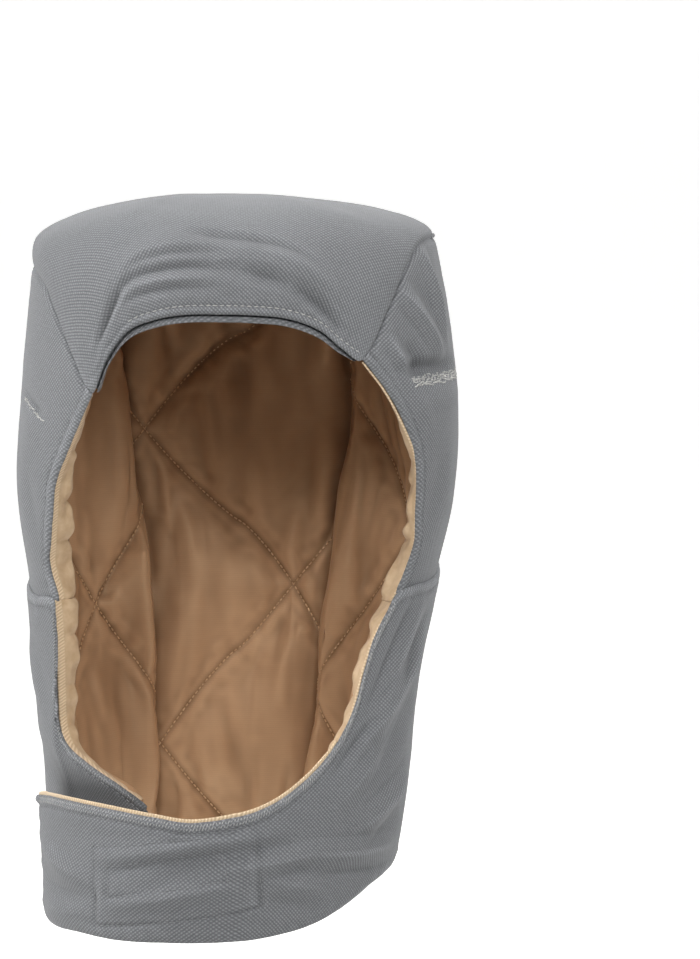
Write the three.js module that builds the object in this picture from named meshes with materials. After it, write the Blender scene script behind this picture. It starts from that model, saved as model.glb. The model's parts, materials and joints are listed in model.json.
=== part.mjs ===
// A winter hood worn under a hard hat: a grey twill shell in three panels, closed under the chin by a flap,
// with a quilted satin lining and a tan facing round the face opening.
// Millimetres, +Z up, face opening towards -Y. The origin is the inside of the crown, where the head sits.
// Angles are degrees round the head, clockwise from above: 0 front, 90 left (-X), 180 back, 270 right (+X).
import * as THREE from "three";

// Thicknesses and clearances
const SHELL = 1.6; // twill panel with its turned seams
const GAP = 0.5; // between two sewn pieces
const SEAM_GAP = 0.8; // along the crown seam, whose corners bend most
const FACING = 1.3; // folded satin strip
const PUFF = 6.5; // quilted lining in the middle of a diamond
const STITCHED = 3; // quilted lining along a line of stitches
const CROWN_PAD = 4; // quilted lining over the top of the head
const FLAP_LINING = 2.2; // flat lining of the chin flap
const FACING_DEPTH = SHELL + GAP; // from the outside of the shell to a facing
const LINING_GAP = 0.9; // the lining hangs a little looser
const CROWN_LINING_GAP = 1.6; // and more so in the crown, which bends two ways
const LINING_DEPTH = SHELL + LINING_GAP; // from the outside of the shell to the lining
const CROWN_LINING_DEPTH = SHELL + CROWN_LINING_GAP;

// Body of the hood: half widths of each level section, and the exponent that squares its corners
const SECTIONS = [
  { z: 8, left: 95, right: 94, front: 97, back: 97, square: 2.6 },
  { z: -15, left: 100, right: 99, front: 102, back: 103, square: 2.6 },
  { z: -45, left: 104, right: 105, front: 106, back: 109, square: 2.6 },
  { z: -95, left: 109, right: 111, front: 110, back: 113, square: 2.5 },
  { z: -145, left: 111, right: 109, front: 111, back: 112, square: 2.4 },
  { z: -190, left: 105, right: 99, front: 108, back: 105, square: 2.3 },
  { z: -240, left: 101, right: 89, front: 104, back: 96, square: 2.3 },
  { z: -290, left: 98, right: 84, front: 102, back: 92, square: 2.3 },
  { z: -330, left: 97, right: 77, front: 100, back: 91, square: 2.3 },
  { z: -365, left: 96, right: 64, front: 96, back: 89, square: 2.3 },
];

// Rim of the crown panel: the seam down each side and round the back, and the brow edge across the front
const APEX = { x: -4, y: 6, z: CROWN_LINING_DEPTH + CROWN_PAD };
const CROWN_SQUARE = 0.4; // times the root of a meridian's rise: the taller it is, the squarer its shoulder
const CROWN_SPREAD = 1.6; // rows lie closer near the rim, where the folds are
const CROWN_COLUMNS = 54;
// The seam's two ends, and the column of the crown that each one lies on: the rest of the rim is the brow
const CROWN_SEAM = { left: 35.4, right: 332, leftColumn: 6, rightColumn: 49 };
const CROWN_RIM = [
  { theta: 0, z: -47 },
  { theta: 8, z: -48 },
  { theta: 16, z: -53 },
  { theta: 24, z: -63 },
  { theta: 30, z: -75 },
  { theta: 35.4, z: -85 },
  { theta: 43, z: -68 },
  { theta: 51, z: -49 },
  { theta: 61, z: -29 },
  { theta: 75, z: -22 },
  { theta: 110, z: -17 },
  { theta: 145, z: -12 },
  { theta: 180, z: -8 },
  { theta: 220, z: -10 },
  { theta: 265, z: -13 },
  { theta: 298, z: -15 },
  { theta: 311, z: -26 },
  { theta: 322, z: -47 },
  { theta: 332, z: -69 },
  { theta: 338, z: -64 },
  { theta: 344, z: -55 },
  { theta: 352, z: -49 },
  { theta: 360, z: -47 },
];

// Edges of the face opening at each height, and the width of the padded edge that its facing covers
const OPENING = [
  { z: -69, left: 33, right: 332, leftPad: 4, rightPad: 4 },
  { z: -85, left: 35.4, right: 324, leftPad: 4, rightPad: 4.5 },
  { z: -100, left: 40, right: 318, leftPad: 5, rightPad: 5 },
  { z: -115, left: 45, right: 313, leftPad: 6, rightPad: 5.5 },
  { z: -130, left: 50, right: 311, leftPad: 7.5, rightPad: 6 },
  { z: -145, left: 52, right: 310, leftPad: 9, rightPad: 6.5 },
  { z: -160, left: 55, right: 308, leftPad: 10, rightPad: 7.5 },
  { z: -172, left: 58, right: 309, leftPad: 10, rightPad: 9 },
  { z: -185, left: 56, right: 312, leftPad: 9.5, rightPad: 9 },
  { z: -200, left: 56, right: 319, leftPad: 9.5, rightPad: 7 },
  { z: -220, left: 57, right: 323, leftPad: 9.5, rightPad: 5.5 },
  { z: -237, left: 59, right: 325, leftPad: 9, rightPad: 5 },
  { z: -252, left: 60, right: 329, leftPad: 8, rightPad: 5 },
  { z: -262, left: 57, right: 335, leftPad: 7, rightPad: 5 },
  { z: -270, left: 48, right: 340, leftPad: 6, rightPad: 5 },
  { z: -278, left: 37, right: 347, leftPad: 5.5, rightPad: 5 },
  { z: -286, left: 28, right: 355, leftPad: 5, rightPad: 5 },
];

// Lapped seam where the neck band overlies the panel above it
const LAP = 10;
const LAP_SEAM = [
  { theta: 56, z: -189 },
  { theta: 90, z: -188 },
  { theta: 130, z: -174 },
  { theta: 180, z: -159 },
  { theta: 230, z: -170 },
  { theta: 270, z: -181 },
  { theta: 312, z: -184 },
];

// Neck band, column by column from its end under the flap, round the back, to the free end of the flap
const BAND = [
  { top: 27, z: -287, hem: 24, hemZ: -345, out: 0 },
  { top: 37, z: -278, hem: 33, hemZ: -346, out: 0 },
  { top: 48, z: -270, hem: 43, hemZ: -346, out: 0 },
  { top: 57, z: -262, hem: 53, hemZ: -346, out: 0.4 },
  { top: 60, z: -252, hem: 61, hemZ: -345, out: 1 },
  { top: 59, z: -237, hem: 67, hemZ: -344, out: 1.5 },
  { top: 57, z: -220, hem: 73, hemZ: -344, out: 2.5 },
  { top: 56, z: -203, hem: 78, hemZ: -343, out: 2.5 },
  { top: 56, z: -189, hem: 83, hemZ: -343, out: 2.5 },
  { top: 70, z: -190, hem: 92, hemZ: -343, out: 2.5 },
  { top: 90, z: -188, hem: 106, hemZ: -342, out: 2.5 },
  { top: 110, z: -181, hem: 121, hemZ: -341, out: 2.5 },
  { top: 130, z: -174, hem: 137, hemZ: -340, out: 2.5 },
  { top: 155, z: -164, hem: 158, hemZ: -339, out: 2.5 },
  { top: 180, z: -159, hem: 180, hemZ: -338, out: 2.5 },
  { top: 205, z: -163, hem: 202, hemZ: -337, out: 2.5 },
  { top: 230, z: -170, hem: 223, hemZ: -335, out: 2.5 },
  { top: 250, z: -176, hem: 240, hemZ: -333, out: 2.5 },
  { top: 270, z: -181, hem: 256, hemZ: -332, out: 2.5 },
  { top: 290, z: -183, hem: 271, hemZ: -331, out: 2.5 },
  { top: 312, z: -184, hem: 286, hemZ: -330, out: 2.5 },
  { top: 317, z: -195, hem: 293, hemZ: -330, out: 2.5 },
  { top: 321, z: -208, hem: 300, hemZ: -331, out: 2.5 },
  { top: 323, z: -222, hem: 307, hemZ: -332, out: 2.6 },
  { top: 325, z: -237, hem: 314, hemZ: -335, out: 2.7 },
  { top: 330, z: -253, hem: 322, hemZ: -339, out: 2.9 },
  { top: 340, z: -270, hem: 333, hemZ: -344, out: 3.1 },
  { top: 354, z: -285, hem: 348, hemZ: -348, out: 3.6 },
  { top: 369, z: -292, hem: 364, hemZ: -351, out: 4.2 },
  { top: 382, z: -290, hem: 379, hemZ: -352, out: 4.8 },
  { top: 396, z: -288, hem: 394, hemZ: -353, out: 5.2 },
  { top: 411, z: -288, hem: 409, hemZ: -353, out: 5.4 },
  { top: 425, z: -290, hem: 423, hemZ: -355, out: 5.4 },
  { top: 438, z: -294, hem: 437, hemZ: -355, out: 5 },
];

// The end of the band that lies under the flap is pressed in towards the neck
const TUCK = { depth: 3.2, fromTheta: 108, toTheta: 80, fromZ: -256, toZ: -288 };

// Folds of the side panels and the band: a ridge (height above 0) or a valley between two places
const FOLDS = [
  { theta0: 299, z0: -36, theta1: 284, z1: -66, height: 2.2, width: 7 },
  { theta0: 284, z0: -22, theta1: 276, z1: -62, height: 1.8, width: 6 },
  { theta0: 307, z0: -58, theta1: 292, z1: -70, height: -2.4, width: 8 },
  { theta0: 318, z0: -84, theta1: 282, z1: -82, height: -1.1, width: 7 },
  { theta0: 62, z0: -97, theta1: 78, z1: -88, height: -1.2, width: 6 },
  { theta0: 112, z0: -92, theta1: 132, z1: -92, height: -1, width: 7 },
  { theta0: 228, z0: -90, theta1: 248, z1: -92, height: -1, width: 7 },
  { theta0: 292, z0: -212, theta1: 318, z1: -250, height: 2.2, width: 8 },
  { theta0: 286, z0: -230, theta1: 312, z1: -268, height: -2, width: 8 },
  { theta0: 300, z0: -272, theta1: 322, z1: -303, height: 2.2, width: 8 },
  { theta0: 306, z0: -303, theta1: 352, z1: -318, height: 2, width: 9 },
  { theta0: 84, z0: -214, theta1: 70, z1: -246, height: 1.6, width: 8 },
];

// Folds of the crown panel that echo the brow edge: distance above the edge, and how far they reach each way
const BROW_FOLDS = [
  { rise: 15, reach: 26, height: -1.2, width: 6 },
  { rise: 25, reach: 30, height: 2, width: 7 },
  { rise: 38, reach: 24, height: -1.2, width: 7 },
];

// Quilting diamonds: half width and half height, and a crossing of the stitch lines on each lining panel
const DIAMOND = { across: 69, up: 84 };
const LINING_RADIUS = 100;
const QUILT_VALLEY = 17;
const QUILTS = {
  back: { arc: 28, z: -205 },
  left: { arc: -85, z: -211 },
  right: { arc: 48, z: -258 },
};

// Seams between the lining panels, and how far the lining stops short of the hem and of the crown seam
const LINING_SEAMS = [
  { z: -10, left: 143, right: 210 },
  { z: -110, left: 149, right: 210 },
  { z: -180, left: 155, right: 209 },
  { z: -340, left: 154, right: 207 },
];
const FOLLOW = 1.5; // the lining is pushed in a little further than the shell's valleys
const HEM_INSET = 9;
const CROWN_INSET = 2.5;
const HEM_Z = -338;

// Brow facing: how far it hangs below the brow edge and reaches up behind it, and where it ends on each side
const BROW_FACING = { below: 2.6, above: 12, left: 30, right: 338, depth: SHELL + 0.6 };

// Side facings: how far the strip leans back as it crosses the padded edge, how fast that bends, and how far
// the lining lies behind it
const LEAN = { start: 0.3, end: 4, bend: 1.6, lining: 2.7 };
const NOTCH_Z = -189; // where the edge of the face opening meets the neck band
const EDGE_TOP = { left: -86, right: -71 };
const BAND_FOOT = { left: -285, right: -262 };

// Flap: where the padded edge ends and the flat flap begins, and where its lining stops along the band
const FLAP_START = 337;
const FLAP_END = 0.997;
// Its facing: how far it stands above the edge of the flap and reaches down behind it
const FLAP_FACING = { above: 1.6, below: 9 };

// Crown lining: how far it stays above the seam and the brow edge, and where one turns into the other
const CROWN_LINING = { aboveSeam: 4, aboveBrow: 16, browTo: 27, seamFrom: 39 };
// How much it hangs loose behind the brow and how far up, and where its padding is full
const CROWN_SLACK = { depth: 3.4, upTo: 0.5, fullFrom: 0.2 };

const SHELL_CLOTH = new THREE.MeshStandardMaterial({ color: 0x85888b, roughness: 0.85, metalness: 0 });
const TAN_SATIN = new THREE.MeshStandardMaterial({ color: 0xcdb28e, roughness: 0.5, metalness: 0 });
const BROWN_SATIN = new THREE.MeshStandardMaterial({ color: 0x7c5f43, roughness: 0.45, metalness: 0 });

// A place between curved edges is found in steps, each of which goes this share of the way
const SETTLE = { passes: 24, share: 0.6 };

const radians = THREE.MathUtils.degToRad;
const mix = THREE.MathUtils.lerp;
const ease = THREE.MathUtils.smoothstep;

// Smooth curve through one column of a table, read by another column
function curve(table, key, value) {
  const rows = [...table].sort((a, b) => a[key] - b[key]);
  const slope = (i) => {
    const before = rows[Math.max(i - 1, 0)];
    const after = rows[Math.min(i + 1, rows.length - 1)];
    return (after[value] - before[value]) / (after[key] - before[key]);
  };
  return (x) => {
    const last = rows.length - 1;
    const at = THREE.MathUtils.clamp(x, rows[0][key], rows[last][key]);
    const i = Math.max(rows.findIndex((row, n) => n < last && at <= rows[n + 1][key]), 0);
    const step = rows[i + 1][key] - rows[i][key];
    const t = (at - rows[i][key]) / step;
    const hold = rows[i][value] * (1 + 2 * t) * (1 - t) ** 2 + rows[i + 1][value] * (3 - 2 * t) * t ** 2;
    return hold + step * (slope(i) * t * (1 - t) ** 2 - slope(i + 1) * t ** 2 * (1 - t));
  };
}

const section = {};
for (const column of ["left", "right", "front", "back", "square"]) {
  section[column] = curve(SECTIONS, "z", column);
}
const rimZ = curve(CROWN_RIM, "theta", "z");
const lapZ = curve(LAP_SEAM, "theta", "z");
const opening = {};
for (const column of ["left", "right", "leftPad", "rightPad"]) opening[column] = curve(OPENING, "z", column);
const liningSeam = { left: curve(LINING_SEAMS, "z", "left"), right: curve(LINING_SEAMS, "z", "right") };
let travel = 0;
const bandRows = BAND.map((row, i) => {
  const before = BAND[Math.max(i - 1, 0)];
  const turn = radians((row.top + row.hem - before.top - before.hem) / 2) * LINING_RADIUS;
  travel += Math.hypot(turn, (row.z - before.z) / 2);
  return { ...row, along: travel };
});
for (const row of bandRows) row.along /= travel;
const band = {};
for (const column of ["top", "z", "hem", "hemZ", "out"]) band[column] = curve(bandRows, "along", column);

// Height of all folds at one place on the side panels or the band
function folds(theta, z) {
  const around = radians(1) * LINING_RADIUS;
  return FOLDS.reduce((sum, fold) => {
    const run = new THREE.Vector2((fold.theta1 - fold.theta0) * around, fold.z1 - fold.z0);
    const from = new THREE.Vector2((theta - fold.theta0) * around, z - fold.z0);
    const along = THREE.MathUtils.clamp(from.dot(run) / run.lengthSq(), 0, 1);
    const away = from.sub(run.multiplyScalar(along)).length() / fold.width;
    return sum + fold.height * Math.exp(-away * away);
  }, 0);
}

// Point on the body of the hood, a distance outside its level section
function body(theta, z, out = 0) {
  const turned = theta < 180 ? ease(-theta, -TUCK.fromTheta, -TUCK.toTheta) : 0;
  const tucked = turned * ease(-z, -TUCK.fromZ, -TUCK.toZ);
  const power = 2 / section.square(z);
  const sine = Math.sin(radians(theta));
  const cosine = Math.cos(radians(theta));
  const wide = sine > 0 ? section.left(z) : section.right(z);
  const deep = cosine > 0 ? section.front(z) : section.back(z);
  const across = -Math.sign(sine) * Math.abs(sine) ** power;
  const along = -Math.sign(cosine) * Math.abs(cosine) ** power;
  const lean = section.square(z) - 1;
  const normal = new THREE.Vector2(
    (Math.sign(across) * Math.abs(across) ** lean) / wide,
    (Math.sign(along) * Math.abs(along) ** lean) / deep,
  ).normalize();
  normal.multiplyScalar(out - TUCK.depth * tucked);
  return new THREE.Vector3(across * wide + normal.x, along * deep + normal.y, z);
}

// Outward normal of a surface whose u runs round the head and v runs up
function normalAt(surface, u, v) {
  const step = 2e-3;
  const du = surface(Math.min(u + step, 1), v).sub(surface(Math.max(u - step, 0), v));
  const dv = surface(u, Math.min(v + step, 1)).sub(surface(u, Math.max(v - step, 0)));
  return dv.cross(du).normalize();
}

// The same surface, moved in by a depth
const under = (surface, depth) => (u, v) =>
  surface(u, v).addScaledVector(normalAt(surface, u, v), -depth(u, v));
const even = (depth) => () => depth;

// Closed solid between an outer and an inner grid. A closed slab runs right round, and a pole joins its
// last row.
// Each cell is split along the diagonal that lies deeper, where a depth is given.
function slab({ outer, inner, columns, rows, closed = false, pole = false, depth = even(0) }) {
  const points = [];
  const index = [];
  const ring = closed ? columns : columns + 1;
  const grid = (surface) => {
    const first = points.length;
    for (let j = 0; j <= rows; j++) {
      const count = pole && j === rows ? 1 : ring;
      for (let i = 0; i < count; i++) points.push(surface(i / columns, j / rows));
    }
    return (i, j) => first + j * ring + (pole && j === rows ? 0 : i % ring);
  };
  const out = grid(outer);
  const back = grid(inner);
  const face = (a, b, c) => {
    if (a !== b && b !== c && c !== a) index.push(a, b, c);
  };
  const quad = (a, b, c, d) => {
    face(a, b, c);
    face(a, c, d);
  };
  for (let i = 0; i < columns; i++) {
    for (let j = 0; j < rows; j++) {
      const at = (di, dj) => depth((i + di) / columns, (j + dj) / rows);
      const cell = (id) => [id(i, j), id(i, j + 1), id(i + 1, j + 1), id(i + 1, j)];
      const turned = at(0, 0) + at(1, 1) > at(0, 1) + at(1, 0);
      const [a, b, c, d] = cell(out);
      const [e, f, g, h] = cell(back);
      if (turned) {
        quad(b, c, d, a);
        quad(h, g, f, e);
      } else {
        quad(a, b, c, d);
        quad(e, h, g, f);
      }
    }
    quad(out(i, 0), out(i + 1, 0), back(i + 1, 0), back(i, 0));
    if (!pole) quad(out(i + 1, rows), out(i, rows), back(i, rows), back(i + 1, rows));
  }
  if (!closed) {
    for (let j = 0; j < rows; j++) {
      quad(out(0, j + 1), out(0, j), back(0, j), back(0, j + 1));
      quad(out(columns, j), out(columns, j + 1), back(columns, j + 1), back(columns, j));
    }
  }
  const geometry = new THREE.BufferGeometry().setFromPoints(points).setIndex(index);
  geometry.computeVertexNormals();
  return geometry;
}

const hood = new THREE.Group();
function sew(name, material, geometry) {
  const piece = new THREE.Mesh(geometry, material);
  piece.name = name;
  hood.add(piece);
}

// Crown: each meridian is a quarter of a squared ellipse from the rim up to the apex
function crownTheta(u) {
  const column = (u % 1) * CROWN_COLUMNS;
  const { left, right, leftColumn, rightColumn } = CROWN_SEAM;
  if (column < leftColumn) return mix(0, left, column / leftColumn);
  if (column < rightColumn) return mix(left, right, (column - leftColumn) / (rightColumn - leftColumn));
  return mix(right, 360, (column - rightColumn) / (CROWN_COLUMNS - rightColumn));
}
const crownSquare = (theta) => CROWN_SQUARE * Math.sqrt(APEX.z - rimZ(theta));
function crownParameter(theta, height) {
  const turn = Math.asin((height / (APEX.z - rimZ(theta))) ** (crownSquare(theta) / 2));
  return ((turn * 2) / Math.PI) ** (1 / CROWN_SPREAD);
}
function crownOver(theta, v) {
  const edge = body(theta, rimZ(theta));
  const power = 2 / crownSquare(theta);
  const turn = (v ** CROWN_SPREAD * Math.PI) / 2;
  const away = Math.cos(turn) ** power;
  const rise = Math.sin(turn) ** power;
  const point = edge.clone().lerp(APEX, 1 - away);
  point.z = mix(edge.z, APEX.z, rise);
  const bearing = Math.abs(((theta + 180) % 360) - 180);
  const height = edge.distanceTo(point);
  const relief = BROW_FOLDS.reduce((sum, fold) => {
    const off = (height - fold.rise) / fold.width;
    return sum + fold.height * Math.exp(-off * off - (bearing / fold.reach) ** 4);
  }, 0);
  const outward = new THREE.Vector3(point.x - APEX.x, point.y - APEX.y, height).normalize();
  return point.addScaledVector(outward, relief);
}
const crown = (u, v) => crownOver(crownTheta(u), v);

// Place of a patch cell between two edges that depend on height and two that depend on angle
const place = ({ left, right, low, high }) => (u, v) => {
  let z = NOTCH_Z;
  let theta = 180;
  for (let pass = 0; pass < SETTLE.passes; pass++) {
    theta = mix(theta, mix(left(z), right(z), u), SETTLE.share);
    z = mix(z, mix(low(theta), high(theta), v), SETTLE.share);
  }
  return { theta, z };
};
const onBody = (at, out) => (u, v) => {
  const { theta, z } = at(u, v);
  return body(theta, z, out(theta, z));
};
const seamZ = (theta) => rimZ(THREE.MathUtils.clamp(theta, CROWN_SEAM.left, CROWN_SEAM.right));

// Shell panels
const sidePanel = onBody(
  place({
    left: opening.left,
    right: opening.right,
    low: (theta) => lapZ(theta) - LAP,
    high: (theta) => seamZ(theta) - SEAM_GAP,
  }),
  folds,
);

function neckBand(u, v) {
  const theta = mix(band.hem(u), band.top(u), v);
  const z = mix(band.hemZ(u), band.z(u), v);
  return body(theta, z, band.out(u) + folds(theta, z));
}

const wall = (surface, from, thickness) => ({
  outer: under(surface, even(from)),
  inner: under(surface, even(from + thickness)),
});
sew("crown_panel", SHELL_CLOTH, slab({
  ...wall(crown, 0, SHELL),
  columns: CROWN_COLUMNS,
  rows: 7,
  closed: true,
  pole: true,
}));
sew("side_back_panel", SHELL_CLOTH, slab({ ...wall(sidePanel, 0, SHELL), columns: 42, rows: 9 }));
sew("neck_band", SHELL_CLOTH, slab({ ...wall(neckBand, 0, SHELL), columns: 62, rows: 6 }));

// Brow facing: a twill strip that hangs a little below the brow edge
function crownAbove(theta, height) {
  const point = crownOver(theta % 360, crownParameter(theta % 360, Math.max(height, 0)));
  point.z += Math.min(height, 0);
  return point;
}
const browStrip = (u, v) =>
  crownAbove(
    mix(BROW_FACING.right, BROW_FACING.left + 360, u),
    mix(-BROW_FACING.below, BROW_FACING.above, v),
  );
const browWall = wall(browStrip, BROW_FACING.depth, FACING);
sew("brow_facing", SHELL_CLOTH, slab({ ...browWall, columns: 18, rows: 3 }));

// Side facings: satin strips across the padded edge, from the edge of the shell in to the lining
const degrees = (length) => THREE.MathUtils.radToDeg(length / LINING_RADIUS);
function sideFacing(side, low, high) {
  const back = side === "left" ? 1 : -1;
  const strip = (behind) => (u, v) => {
    const z = mix(low, high, v);
    const across = side === "left" ? 1 - u : u;
    const lean = mix(LEAN.start, LEAN.end, across ** LEAN.bend) + behind;
    const theta = opening[side](z) + back * degrees(lean);
    return body(theta, z, -FACING_DEPTH - across * opening[`${side}Pad`](z));
  };
  return { outer: strip(0), inner: strip(FACING) };
}
for (const side of ["left", "right"]) {
  const edge = sideFacing(side, NOTCH_Z + GAP, EDGE_TOP[side]);
  const foot = sideFacing(side, BAND_FOOT[side], NOTCH_Z - GAP);
  sew(`edge_facing_${side}`, TAN_SATIN, slab({ ...edge, columns: 3, rows: 14 }));
  sew(`band_facing_${side}`, TAN_SATIN, slab({ ...foot, columns: 3, rows: side === "left" ? 14 : 9 }));
}

// Flap: a facing along its top edge and a flat lining below that
const flapFrom = bandRows.find((row) => row.top > FLAP_START).along;
function flap(low, high) {
  return (u, v) => {
    const at = mix(flapFrom, FLAP_END, u);
    const height = band.z(at) - band.hemZ(at);
    return neckBand(at, mix(low(height), high(height), v));
  };
}
const flapEdge = flap(
  (height) => 1 - FLAP_FACING.below / height,
  (height) => 1 + FLAP_FACING.above / height,
);
const flapInside = flap(
  (height) => HEM_INSET / height,
  (height) => 1 - (FLAP_FACING.below + GAP) / height,
);
sew("flap_facing", TAN_SATIN, slab({ ...wall(flapEdge, FACING_DEPTH, FACING), columns: 22, rows: 2 }));
const flapWall = wall(flapInside, LINING_DEPTH, FLAP_LINING);
sew("lining_flap", BROWN_SATIN, slab({ ...flapWall, columns: 20, rows: 3 }));

// Quilting: the lining is thin along its stitch lines and full between them
const fullness = (away) => ease(Math.abs(away), 0, QUILT_VALLEY);
function quilting({ arc, z }, x, y) {
  const across = (x - arc) / DIAMOND.across;
  const up = (y - z) / DIAMOND.up;
  const pitch = (DIAMOND.across * DIAMOND.up) / Math.hypot(DIAMOND.across, DIAMOND.up);
  const off = (run) => (run / 2 - Math.round(run / 2)) * 2 * pitch;
  return fullness(off(across + up)) * fullness(off(across - up));
}

// Side and back linings
const liningOut = (theta, z) => Math.min(folds(theta, z), 0) * FOLLOW - LINING_DEPTH;
const liningFront = {
  left: opening.left,
  right: (z) => Math.min(opening.right(z), FLAP_START - 1),
};
function lining(name, { left, right, columns, rows, leftPad, rightPad }) {
  const edges = {
    low: () => HEM_Z + HEM_INSET,
    high: (theta) => seamZ(theta) - CROWN_INSET,
  };
  const behind = (lean) => ({
    left: (z) => left(z) + degrees(leftPad ? lean + FACING + LEAN.lining : GAP),
    right: (z) => right(z) - degrees(rightPad ? lean + FACING + LEAN.lining : GAP),
    ...edges,
  });
  const depth = (theta, z) => {
    const fromLeft = radians(theta - left(z)) * LINING_RADIUS;
    const fromRight = radians(right(z) - theta) * LINING_RADIUS;
    const seams = (leftPad ? 1 : fullness(fromLeft)) * (rightPad ? 1 : fullness(fromRight));
    const ends = fullness(z - edges.low(theta)) * fullness(edges.high(theta) - z);
    const full = quilting(QUILTS[name], radians(theta - 180) * LINING_RADIUS, z) * seams * ends;
    const inner = mix(STITCHED, PUFF, full);
    if (leftPad) return mix(leftPad(z), inner, fullness(Math.max(fromLeft - LEAN.end, 0)));
    if (rightPad) return mix(rightPad(z), inner, fullness(Math.max(fromRight - LEAN.end, 0)));
    return inner;
  };
  const outerPlace = place(behind(LEAN.start));
  const innerPlace = place(behind(LEAN.end));
  return slab({
    outer: onBody(outerPlace, liningOut),
    inner: onBody(innerPlace, (theta, z) => liningOut(theta, z) - depth(theta, z)),
    depth: (u, v) => {
      const { theta, z } = innerPlace(u, v);
      return depth(theta, z);
    },
    columns,
    rows,
  });
}
sew("lining_left", BROWN_SATIN, lining("left", {
  left: liningFront.left,
  right: liningSeam.left,
  leftPad: opening.leftPad,
  columns: 11,
  rows: 22,
}));
sew("lining_back", BROWN_SATIN, lining("back", {
  left: liningSeam.left,
  right: liningSeam.right,
  columns: 9,
  rows: 20,
}));
sew("lining_right", BROWN_SATIN, lining("right", {
  left: liningSeam.right,
  right: liningFront.right,
  rightPad: opening.rightPad,
  columns: 11,
  rows: 22,
}));

// Crown lining: the inside of the crown, from just above the seam and the brow facing
function browShare(u) {
  const bearing = Math.abs(((crownTheta(u) + 180) % 360) - 180);
  return 1 - ease(bearing, CROWN_LINING.browTo, CROWN_LINING.seamFrom);
}
function crownLining(u, v) {
  const height = mix(CROWN_LINING.aboveSeam, CROWN_LINING.aboveBrow, browShare(u));
  return crown(u, mix(crownParameter(crownTheta(u), height), 1, v));
}
function crownOut(u, v) {
  const loose = browShare(u) * (1 - ease(v, 0, CROWN_SLACK.upTo));
  return CROWN_LINING_DEPTH + CROWN_SLACK.depth * loose;
}
const crownIn = (u, v) => crownOut(u, v) + mix(STITCHED, CROWN_PAD, ease(v, 0, CROWN_SLACK.fullFrom));
sew("lining_crown", BROWN_SATIN, slab({
  outer: under(crownLining, crownOut),
  inner: under(crownLining, crownIn),
  columns: CROWN_COLUMNS,
  rows: 6,
  closed: true,
  pole: true,
}));

export default hood;
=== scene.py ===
# Winter hood worn under a hard hat: a grey twill shell, a tan facing round the face opening and a quilted
# satin lining. Cloth surfaces are worked out in millimetres and become metres in the mesh.
import json
import math

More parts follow.
